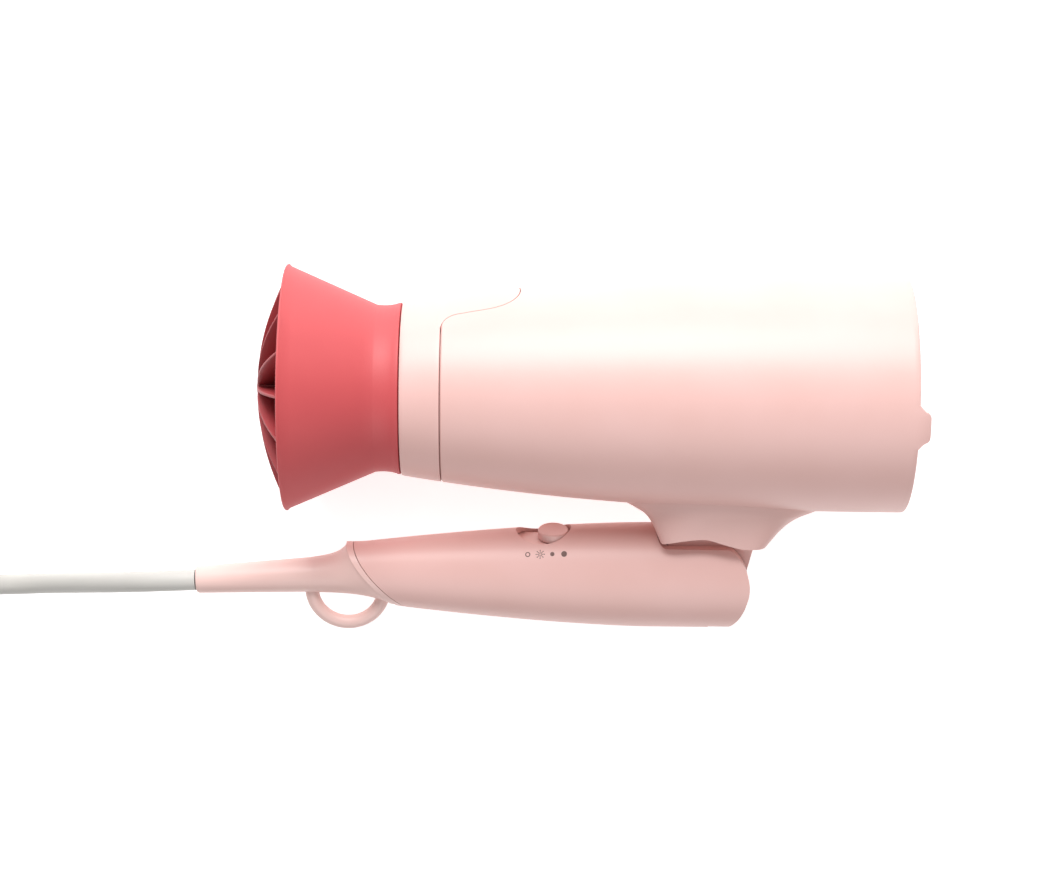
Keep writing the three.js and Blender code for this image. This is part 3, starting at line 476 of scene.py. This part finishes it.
def neck(inset):
    """The neck between barrel and hinge: level rings, wide and round at the barrel, boxier below."""
    hx, hy = HINGE
    # Height over the hinge, front edge, rear edge, half width, and how boxy the ring is.
    levels = through([
        (40, -41, 60, 21, 2.0), (31, -32.5, 50, 20, 2.1), (27, -24.8, 41.5, 19.2, 2.4),
        (25, -20.4, 34.6, 18.6, 3.0), (23, -18, 30, 18.1, 3.8), (20.5, -16.3, 26.4, 17.7, 4.9),
        (17.5, -14.8, 23.5, 17.5, 6.0), (14.8, -13.5, 21.2, 17.4, 6.8),
    ], 5)
    rings = []
    for height, front, rear, half, boxy in levels:
        middle, reach, half = (front + rear) / 2, (rear - front) / 2 - inset, half - inset
        ring = []
        for angle in steps(0, 2 * math.pi, 96)[:-1]:
            c, s = math.cos(angle), math.sin(angle)
            ring.append((
                hx + middle + reach * math.copysign(abs(c) ** (2 / boxy), c),
                hy + height,
                half * math.copysign(abs(s) ** (2 / boxy), s),
            ))
        rings.append(ring)
    return lofted(rings)


def ear_room(raised):
    """Room under the neck's arched rim, over the handle's ears."""
    hx, hy = HINGE
    rim = through([(-13.6, 15.6), (-11.2, 16.8), (-5.5, 18.1), (0.5, 18.6), (4, 17.8), (6.7, 16.9),
                   (12.4, 15.4), (17, 15.1), (24, 15.1)], 8)
    outline = [(hx - 40, hy - 20), (hx - 40, hy + rim[0][1] + raised)]
    outline += [(hx + x, hy + y + raised) for x, y in rim]
    outline += [(hx + 40, hy + rim[-1][1] + raised), (hx + 40, hy - 20)]
    return slab(outline, -39, 39)


def cover_tongue(extra):
    """The front cover's tongue seen from above, pulled up through the barrel's top."""
    start = COVER_LENGTH
    end = start + TONGUE_REACH + extra
    half = 12.2 + extra
    root = half + 4.4
    side = [(start - 6, -root), (start, -root)]
    side += curve_points(side[-1], (start + 1.2, -half - 0.6), (start + 5, -half), 8)
    side += [(start + 14, -half + 0.6)]
    tip = [
        (
            (1 - t) ** 3 * (start + 14) + 3 * (1 - t) ** 2 * t * (end - 2) + 3 * (1 - t) * t * t * end
            + t**3 * end,
            (1 - t) ** 3 * (-half + 0.6) + 3 * (1 - t) ** 2 * t * (-half + 1.2)
            + 3 * (1 - t) * t * t * (-half / 2),
        )
        for t in steps(0, 1, 14)[1:]
    ]
    lower = side + tip
    outline = lower + [(x, -y) for x, y in reversed(lower[:-1])]
    bm = slab(outline, -(REAR_RADIUS + 12), -6)
    return turned(bm, Matrix.Rotation(math.pi / 2, 4, "X"))


def barrel_shell():
    """The barrel's housing with its neck, hinge tongue, rear recess and lugs."""
    hx, hy = HINGE
    front = COVER_LENGTH + GAP
    rear = BARREL_LENGTH
    rows = steps(front + 0.4, rear - 2, 44)
    outside = (
        [(front, 0), (front, barrel_radius(front) - 0.4)]
        + [(x, barrel_radius(x)) for x in rows]
        + [(rear - 0.8, REAR_RADIUS), (rear - 0.25, REAR_RADIUS - 0.2)]
        + [(rear, REAR_RADIUS - 0.7), (rear, 0)]
    )
    inside = barrel_skin(front - 1, rear - 16, WALL)
    ledge = spun([(rear - 17, 0), (rear - 17, 35), (rear + 1, 35), (rear + 1, 0)])
    recess = spun([
        (rear - RIM_DEPTH, 0), (rear - RIM_DEPTH, REAR_RADIUS - RIM_WALL),
        (rear - 0.5, REAR_RADIUS - RIM_WALL),
        (rear + 1, REAR_RADIUS - 0.9), (rear + 1, 0),
    ])
    hollow = carved(
        neck(WALL), ("UNION", block((hx - 10.8, hx + 14.8), (hy + 8, hy + 15.5), (-15.3, 15.3))),
        ("DIFFERENCE", ear_room(WALL)),
    )
    hinge_tongue = carved(
        rod(hx, hy, -HINGE_TONGUE_HALF, HINGE_TONGUE_HALF, HINGE_TONGUE_RADIUS, 128, 0.4),
        ("UNION", slab([
            (hx - 11, hy), (hx - 11, hy + 20), (hx + 17.9, hy + 20), (hx + 17.3, hy + 11.5),
            (hx + 14.9, hy + 1.5), (hx + 14.8, hy),
        ][::-1], -HINGE_TONGUE_HALF, HINGE_TONGUE_HALF, 0.3, 2)),
        ("DIFFERENCE", barrel_skin(front - 1, rear - 16, WALL)),
    )
    lead_way = rod(hx - 8, hy + 10, -2, 2, 4, 32)
    clicks = [
        rod(hx + 15.8 * math.cos(math.radians(a)), hy + 15.8 * math.sin(math.radians(a)), -9, 9, 1.5, 24)
        for a in (206.9, 296.9)
    ]
    pocket = carved(
        barrel_skin(front - 2, 45, -2, 20),
        ("DIFFERENCE", barrel_skin(front - 3, 46, 1.2, 20)),
        ("INTERSECT", cover_tongue(GAP)),
    )
    return carved(
        spun(outside),
        ("UNION", neck(0)),
        ("DIFFERENCE", inside), ("DIFFERENCE", ledge), ("DIFFERENCE", recess),
        ("DIFFERENCE", hollow), ("DIFFERENCE", ear_room(0)),
        ("UNION", hinge_tongue),
        ("DIFFERENCE", lead_way), ("DIFFERENCE", rod(hx, hy, -20, 20, PIN_RADIUS + 0.12, 64)),
        ("DIFFERENCE", clicks[0]), ("DIFFERENCE", clicks[1]),
        ("DIFFERENCE", pocket), ("UNION", rear_lugs()),
    )


def rear_lugs():
    """Two low pads that stand behind the rim, on the barrel's sides."""
    rear = BARREL_LENGTH
    half = [(rear - 1.5, 6), (rear - 0.2, 7.4), (rear + 0.9, 6.0), (rear + 1.9, 5.1)]
    half += curve_points(half[-1], (rear + 3.5, 4.6), (rear + LUG_HEIGHT, 2.8), 6)
    plan = half + [(x, -y) for x, y in reversed(half)]
    inner = REAR_RADIUS - RIM_WALL
    hoop = spun([
        (rear - 1.5, inner), (rear - 1.5, REAR_RADIUS), (rear + 2.9, REAR_RADIUS), (rear + 3.4, 38.7),
        (rear + LUG_HEIGHT, 38.2), (rear + LUG_HEIGHT, 37.9), (rear + 3.2, inner),
    ], closed=True)
    return carved(hoop, ("INTERSECT", slab(plan, -45, 45)))


settle(barrel_shell(), "barrel_shell", "pale_pink", "barrel", ["main_housing"])


def front_ring():
    """The cover at the barrel's front: ring, sleeve and tongue."""
    edge = COVER_LENGTH
    bore = SPIGOT_RADIUS + GAP
    sleeve = barrel_radius(edge) - WALL - GAP
    outside = [(x, barrel_radius(x)) for x in steps(0.5, edge - 0.4, 12)]
    ring = spun(
        [(0, bore + 0.4), (0, FRONT_RADIUS - 0.5), (0.12, FRONT_RADIUS - 0.15)] + outside
        + [(edge - 0.1, barrel_radius(edge) - 0.12), (edge, barrel_radius(edge) - 0.4), (edge, sleeve),
           (edge + 7, sleeve), (edge + 7, bore), (0.4, bore)],
        closed=True,
    )
    layer = carved(
        barrel_skin(edge - 3, 44, 0, 20), ("DIFFERENCE", barrel_skin(edge - 4, 45, 0.9, 20)),
        ("INTERSECT", cover_tongue(0)),
    )
    return carved(ring, ("UNION", layer))


settle(front_ring(), "front_ring", "pale_pink", "barrel", ["front_cover"])


def rear_grille():
    """Air inlet: rim, fine rings and spokes."""
    x0 = BARREL_LENGTH - RIM_DEPTH + GAP
    outer = REAR_RADIUS - RIM_WALL - GAP
    rim = spun([
        (x0, outer - 2), (x0, outer), (x0 + 3.4, outer), (x0 + 4, outer - 0.6), (x0 + 4, outer - 1.6),
        (x0 + 3.6, outer - 2),
    ], closed=True)
    rings = [
        spun([
            (x0 + 1, r - 0.6), (x0 + 1, r + 0.6), (x0 + 3, r + 0.6), (x0 + 3.4, r + 0.2),
            (x0 + 3.4, r - 0.2), (x0 + 3, r - 0.6),
        ], closed=True)
        for r in steps(8.5, 31.5, 8)
    ]
    hub = spun([(x0 + 1, 0), (x0 + 1, 5.8), (x0 + 3, 5.8), (x0 + 3.6, 4.6), (x0 + 3.9, 0)], 64)
    spokes = repeated(lambda: block((x0 + 1, x0 + 2.9), (4, outer - 1), (-0.7, 0.7), 0.25), 8)
    return merged(rim, hub, spokes, *rings)


settle(rear_grille(), "rear_grille", "coral", "inlet", ["inlet_grille"])

# ---- Nozzle ---------------------------------------------------------------------------------


def nozzle_bell():
    """The flaring shell, from its spigot over the waist to the open rim and back inside."""
    slope = (NOZZLE_RADIUS - WAIST_RADIUS) / (NOZZLE_LENGTH - 6.9)
    inner = SPIGOT_RADIUS - NOZZLE_WALL
    waist = curve_points((-2.3, FRONT_RADIUS - 0.8), (-5.2, WAIST_RADIUS), (-8.6, 27.45), 12)
    profile = [
        (6, inner), (6, SPIGOT_RADIUS - 0.4), (5.6, SPIGOT_RADIUS), (-GAP, SPIGOT_RADIUS),
        (-GAP, FRONT_RADIUS - 0.7), (-0.5, FRONT_RADIUS - 0.35),
    ]
    profile += [(-1.2, FRONT_RADIUS - 0.42), (-2.3, FRONT_RADIUS - 0.8)] + waist
    profile += [(x, 27.45 + slope * 1.012 * (-8.6 - x)) for x in steps(-12, -36.6, 8)]
    profile += [
        (-37.3, NOZZLE_RADIUS), (-37.7, NOZZLE_RADIUS - 0.08), (-37.95, NOZZLE_RADIUS - 0.4),
        (-38, NOZZLE_RADIUS - 0.8), (-37.7, NOZZLE_RADIUS - 1.35), (-37.1, NOZZLE_RADIUS - NOZZLE_WALL),
        (-11, WAIST_RADIUS + slope * 4 - NOZZLE_WALL), (-8, inner + 0.6), (-5.9, inner),
    ]
    return spun(profile, 160, closed=True)


settle(nozzle_bell(), "nozzle_shell", "coral", "nozzle", ["nozzle_bell"])


def rib():
    """One blade of the nozzle's domed front grille."""
    outer = 37.0
    back = -NOZZLE_LENGTH + 6
    front = [(-NOZZLE_LENGTH - DOME_RISE * (1 - (r / outer) ** 2), r) for r in steps(1, outer, 20)]
    outline = front + [(-NOZZLE_LENGTH + 1, outer), (back, 34.7), (back - 3, 4), (back - 3, 1)]
    return slab(outline, -0.5, 0.5, 0.3, 3)


def grille_hub():
    nose = -NOZZLE_LENGTH - DOME_RISE
    return spun([
        (nose - 0.4, 0), (nose - 0.35, 1.4), (nose - 0.1, 2.7), (nose + 0.5, 3.7), (nose + 1.2, 4),
        (nose + 12.3, 4), (nose + 12.3, 0),
    ], 64)


# The ribs take dark_coral: the coral with the shade inside the nozzle painted into it.
settle(
    merged(repeated(rib, 16, math.pi / 16), grille_hub()), "nozzle_ribs", "dark_coral", "nozzle",
    ["nozzle_grille"],
)

# ---- Handle ---------------------------------------------------------------------------------


def handle_skin(start, end, inset, rows=60):
    xs = steps(start, end, rows)
    bm = spun([(start, 0)] + [(x, handle_radius(x) - inset) for x in xs] + [(end, 0)], 144)
    bmesh.ops.scale(bm, vec=(1, 1, HANDLE_FLATTEN), verts=bm.verts)
    bmesh.ops.translate(bm, vec=(0, HANDLE_Y, 0), verts=bm.verts)
    return bm


def seam(shift, count=24):
    """The slanted joint between the handle and its end cap, from top to bottom."""
    top = (HANDLE_TIP - 2.9 + shift, HANDLE_Y + 10)
    bottom = (HANDLE_TIP + 15.6 + shift, HANDLE_Y - 12)
    line = curve_points(top, (HANDLE_TIP - 0.3 + shift, HANDLE_Y + 2.6), bottom, count)
    return [(top[0] - 0.6, HANDLE_Y + 24), top] + line + [(bottom[0] + 11, HANDLE_Y - 24)]


def handle_outline():
    """The handle seen from the side, from the slanted joint to the round end."""
    hx, hy = HINGE
    notch = [(hx - 15.6, hy + 24), (hx - 15.5, hy + 18), (hx - 14.1, hy + 14.7)]
    notch += curve_points(notch[-1], (hx - 13.2, hy + EAR_TOP), (hx - 11, hy + EAR_TOP), 8)
    round_end = curve_points((hx + 7.6, hy + EAR_TOP), (hx + 9.7, hy + EAR_TOP), (hx + 10.8, hy + 11.8), 6)
    round_end += arc(hx, hy, 16, 47, -13, 30)
    round_end += through([(14.6, -7.4), (13.2, -11), (11.2, -14.6), (9.4, -17)], 4)
    end = curve_points((9.4, -17), (8.6, -18), (6.5, -18.4), 6) + [(6.5, -24)]
    round_end = round_end[:37] + [(hx + x, hy + y) for x, y in round_end[37:] + end]
    return seam(0)[::-1] + notch + round_end


SLOT = (37.6, 56)
PLATE_TOP = -51.56
SCREWS = (22, 70)


def handle_half(side):
    """One half of the handle: 1 for the upper one, -1 for the one that lies below."""
    hx, hy = HINGE
    hollow_end = hx - 19
    fork_half = HINGE_TONGUE_HALF + GAP
    fork = carved(
        rod(hx, hy, -fork_half, fork_half, HINGE_TONGUE_RADIUS + 0.7, 96),
        ("UNION", slab(
            [HINGE, (hx - 11.3, hy), (hx - 11.3, hy + 50)] + arc(hx, hy, 50, 60, -79, 10),
            -fork_half, fork_half,
        )),
    )
    channel_top = PLATE_TOP + GAP
    slot_half = 8
    rounded = arc(SLOT[1] - slot_half, 0, slot_half, 90, -90, 32)
    rounded += arc(SLOT[0] + slot_half, 0, slot_half, -90, -270, 32)
    recess = slab(rounded, -30, 1.4 - channel_top)
    recess = turned(recess, Matrix.Rotation(math.pi / 2, 4, "X"))
    channel = block((SLOT[0] - 8.8, SLOT[1] + 8.8), (channel_top - 1.4, channel_top), (-6.3, 6.3))
    window = block((SLOT[0] + 1, SLOT[1] - 1), (-62, channel_top), (-3, 3))
    holes, heads, bosses = [], [], []
    for x in SCREWS:
        side_z = handle_radius(x) * HANDLE_FLATTEN
        reach = handle_radius(x) * 0.8
        holes.append(rod(x, HANDLE_Y, -25, side_z - 4.5, 1.55, 32))
        heads.append(rod(x, HANDLE_Y, -25, -side_z + 3.7, 3, 48))
        bosses.append(rod(x, HANDLE_Y, -reach, reach, 3.4, 48))
    half = block((-60, 140), (-110, -20), (0.03, 40) if side > 0 else (-40, -0.03))
    return carved(
        handle_skin(HANDLE_TIP - 8, hx + 20, 0),
        ("INTERSECT", slab(handle_outline(), -30, 30)),
        ("DIFFERENCE", handle_skin(HANDLE_TIP - 9, hollow_end, WALL)),
        ("UNION", bosses[0]), ("UNION", bosses[1]),
        ("DIFFERENCE", fork), ("DIFFERENCE", rod(hx, hy, -12.8, 12.8, PIN_RADIUS + GAP, 64)),
        ("DIFFERENCE", recess), ("DIFFERENCE", channel), ("DIFFERENCE", window),
        ("DIFFERENCE", holes[0]), ("DIFFERENCE", holes[1]),
        ("DIFFERENCE", heads[0]), ("DIFFERENCE", heads[1]),
        ("INTERSECT", half),
    )


settle(handle_half(1), "handle_shell_left", "pale_pink", "handle", ["handle_half_left"])
settle(handle_half(-1), "handle_shell_right", "pale_pink", "handle", ["handle_half_right"])

# ---- End cap --------------------------------------------------------------------------------


def along_guard(bm):
    """A shape laid along the leaning cord guard."""
    lean = Matrix.Rotation(RELIEF_LEAN, 4, "Z")
    return turned(bm, Matrix.Translation((RELIEF_START, lean_y(RELIEF_START), 0)) @ lean)


def loop():
    """The lower part of the hanging ring, turned about Z."""
    bm = bmesh.new()
    made = bmesh.ops.create_circle(bm, segments=28, radius=LOOP_SECTION / 2)
    bmesh.ops.rotate(bm, verts=made["verts"], cent=(0, 0, 0), matrix=Matrix.Rotation(math.pi / 2, 3, "X"))
    bmesh.ops.translate(bm, vec=(LOOP_RADIUS, 0, 0), verts=made["verts"])
    bmesh.ops.spin(
        bm, geom=bm.verts[:] + bm.edges[:], cent=(0, 0, 0), axis=(0, 0, 1), angle=2 * math.pi,
        steps=96, use_merge=True, use_duplicate=False,
    )
    bmesh.ops.translate(bm, vec=(LOOP_X, HANDLE_Y - LOOP_DROP, 0), verts=bm.verts)
    below = block((-60, 20), (HANDLE_Y - 40, HANDLE_Y - 3.5), (-20, 20))
    return carved(tidied(bm), ("INTERSECT", below))


def seam_x(y):
    """Place of the cap's slanted joint at a height."""
    line = seam(-GAP)[1:-1]
    for (x0, y0), (x1, y1) in zip(line, line[1:]):
        if y1 <= y <= y0:
            return x0 + (x1 - x0) * (y - y0) / (y1 - y0)
    return line[0][0] if y > line[0][1] else line[-1][0]


def trumpet(inset):
    """The flare from the cord guard's root to the band along the slanted joint."""
    root_x = -30.5
    root_radius = 5.96
    rings = []
    for t in [-0.04, *steps(0, 1, 36), 1.1]:
        ring = []
        for turn in steps(0, 2 * math.pi, 96)[:-1]:
            height = math.cos(turn)
            y = HANDLE_Y + 9.4 * height
            end_x = seam_x(y) - 2.1
            end_radius = handle_radius(end_x) - 0.4
            reach = min(max(t, 0), 1)
            early = 0.26 - 0.04 * height
            grown = early * reach + (1 - early) * reach ** (3.7 + 0.5 * height)
            radius = root_radius + (end_radius - root_radius) * grown - inset
            flat = 1 - 0.15 * reach**2
            ring.append((
                root_x + (end_x - root_x) * t,
                lean_y(root_x) + (HANDLE_Y - lean_y(root_x)) * reach + radius * height,
                radius * flat * math.sin(turn),
            ))
        rings.append(ring)
    return lofted(rings)


def end_cap():
    """Flare, band, hanging loop and cord guard in one piece, bored for the cord."""
    far = [(-60, HANDLE_Y - 24), (-60, HANDLE_Y + 24)]
    plan = slab(seam(-GAP) + far, -30, 30)
    guard = along_guard(spun([
        (-4, 0), (-4, 5.96), (-RELIEF_LENGTH + 0.9, 4.55), (-RELIEF_LENGTH + 0.25, 4.35),
        (-RELIEF_LENGTH, 3.95), (-RELIEF_LENGTH, 0),
    ], 96))
    bore_radius = CORD_RADIUS + GAP
    bore = along_guard(spun([
        (-RELIEF_LENGTH - 1, 0), (-RELIEF_LENGTH - 1, bore_radius), (8, bore_radius), (8, 0),
    ], 64))
    lip = carved(
        handle_skin(HANDLE_TIP - 6, HANDLE_TIP + 24, 0.05, 16),
        ("INTERSECT", slab(seam(-GAP) + far, -30, 30)),
        ("DIFFERENCE", slab(seam(-GAP - LIP_WIDTH) + far, -31, 31)),
    )
    inside = carved(
        trumpet(WALL),
        ("DIFFERENCE", block((-80, HANDLE_TIP - 8), (HANDLE_Y - 30, HANDLE_Y + 30), (-30, 30))),
    )
    return carved(
        trumpet(0), ("INTERSECT", plan), ("UNION", lip), ("UNION", loop()), ("DIFFERENCE", inside),
        ("UNION", guard), ("DIFFERENCE", bore),
    )


settle(end_cap(), "cap_and_guard", "cap_pink", "handle", ["end_cap"])

# ---- Switch ---------------------------------------------------------------------------------

KNOB_X = 50.05


def knob():
    """Oval slider with a shallow dished top, on its stem."""
    top = -48.3
    oval = [(5.15 * math.cos(a), 7 * math.sin(a)) for a in steps(0, 2 * math.pi, 72)[:-1]]
    body = slab(oval, 0, top - PLATE_TOP - GAP, 0.55, 4)
    upper = max(body.faces, key=lambda f: (f.calc_center_median().z, f.calc_area()))
    bmesh.ops.inset_region(body, faces=[upper], thickness=0.7)
    bmesh.ops.translate(body, vec=(0, 0, -0.35), verts=upper.verts)
    upright = Matrix.Rotation(-math.pi / 2, 4, "X")
    turned(body, Matrix.Translation((KNOB_X, PLATE_TOP + GAP, 0)) @ upright)
    stem = block((KNOB_X - 1.5, KNOB_X + 1.5), (PLATE_TOP - 5, PLATE_TOP + 0.6), (-1.5, 1.5), 0.2)
    return merged(body, stem)


settle(knob(), "slider_knob", "pale_pink", "switch", ["switch_knob"])


def slide_plate():
    """The thin plate that moves with the knob and covers the slot."""
    sheet = block((36.6, 63.8), (PLATE_TOP - 0.8, PLATE_TOP), (-6, 6), 0.15)
    hole = block((KNOB_X - 1.8, KNOB_X + 1.8), (PLATE_TOP - 2, PLATE_TOP + 1), (-1.8, 1.8))
    return carved(sheet, ("DIFFERENCE", hole))


settle(slide_plate(), "slider_plate", "cap_pink", "switch", ["switch_plate"])


def printed(shape, x, name):
    """Lays a flat mark on the handle, beside the switch."""
    middle = math.radians(49.5)
    for vert in shape.verts:
        a, b, lift = vert.co
        radius = handle_radius(x + a) + lift
        angle = middle + b / 15
        vert.co = (x + a, HANDLE_Y + radius * math.cos(angle), HANDLE_FLATTEN * radius * math.sin(angle))
    bmesh.ops.recalc_face_normals(shape, faces=shape.faces)
    settle(shape, name, "print_brown", "handle")


def marks():
    """Switch positions: off, cool, low and high."""
    low, high = -0.02, 0.04
    printed(carved(
        rod(0, 0, low, high, 0.85, 40), ("DIFFERENCE", rod(0, 0, -1, 1, 0.55, 40))), 41.6, "mark_off")
    arms = []
    for i in range(8):
        arm = merged(block((0.3, 1.1), (-0.09, 0.09), (low, high)), rod(1.35, 0, low, high, 0.18, 16))
        arms.append(turned(arm, Matrix.Rotation(i * math.pi / 4, 4, "Z")))
    printed(merged(*arms), 45.7, "mark_cool")
    printed(rod(0, 0, low, high, 0.7, 40), 49.7, "mark_low")
    printed(rod(0, 0, low, high, 0.95, 40), 53.6, "mark_high")


marks()

# ---- Plug and tie ---------------------------------------------------------------------------


def plug():
    """Two-pin plug with grip ridges, its pins' holes cut in."""
    half, neck_y, length, thick = 17, 8, 36, 7.5
    side = [(5, 0), (6.3, neck_y)]
    side += curve_points(side[-1], (half - 3, neck_y + 3), (half - 1, neck_y + 14), 12)
    side += curve_points(side[-1], (half, neck_y + 20), (half - 0.4, length - 1), 6)
    side += [(half - 1.4, length)]
    outline = side + [(-x, y) for x, y in reversed(side)]
    body = slab(outline, -thick, thick, 3.2, 6)
    cuts = []
    for x in (-9.5, 9.5):
        hole = rod(x, 0, length - 8, length + 4, 2.7, 32)
        cuts.append(turned(hole, Matrix.Rotation(-math.pi / 2, 4, "X")))
    grips = [
        block((x - 0.6, x + 0.6), (15, 28), (face * thick - 0.45, face * thick + 0.45), 0.3)
        for x in (-7.5, -4.5, -1.5, 1.5, 4.5, 7.5) for face in (-1, 1)
    ]
    body = carved(body, *[("DIFFERENCE", c) for c in cuts], *[("UNION", g) for g in grips])
    return turned(body, Matrix.Translation(PLUG))


settle(plug(), "mains_plug", "cord_grey", "handle", ["plug_body"])

# ---- Look of the pieces inside --------------------------------------------------------------

for node in frame["nodes"].values():
    if not node.hide_render:
        for place in node.material_slots:
            place.material = FINISHES[place.material.name.split(".")[0]]

# ---- Table and light ------------------------------------------------------------------------


def set_table():
    bm = bmesh.new()
    bmesh.ops.create_grid(bm, x_segments=1, y_segments=1, size=4)
    mesh = bpy.data.meshes.new("table")
    bm.to_mesh(mesh)
    bm.free()
    top = bpy.data.objects.new("table", mesh)
    bpy.context.collection.objects.link(top)
    top.location = (0, 0, cad_box[0].z - 0.0001)
    material = bpy.data.materials.new("pale_table")
    material.use_nodes = True
    surface = material.node_tree.nodes["Principled BSDF"]
    surface.inputs["Base Color"].default_value = (0.9, 0.9, 0.9, 1)
    surface.inputs["Roughness"].default_value = 0.9
    surface.inputs["Emission Color"].default_value = (1, 1, 1, 1)
    surface.inputs["Emission Strength"].default_value = 0.55
    mesh.materials.append(material)


def set_light():
    world = bpy.data.worlds.new("studio")
    bpy.context.scene.world = world
    world.use_nodes = True
    world.node_tree.nodes["Background"].inputs["Color"].default_value = (1, 1, 1, 1)
    world.node_tree.nodes["Background"].inputs["Strength"].default_value = 0.37
    for name, place, size, power in (
        ("key", (-0.1, 1.42, 0.78), 1.0, 31),
        ("fill", (0.1, -0.9, 1.35), 1.2, 6.5),
    ):
        data = bpy.data.lights.new(name, "AREA")
        data.size = size
        data.energy = power
        lamp = bpy.data.objects.new(name, data)
        bpy.context.collection.objects.link(lamp)
        lamp.location = place
        lamp.rotation_euler = (Vector((0, 0, 0.04)) - Vector(place)).to_track_quat("-Z", "Y").to_euler()
    bpy.context.scene.view_settings.view_transform = "Standard"


set_table()
set_light()
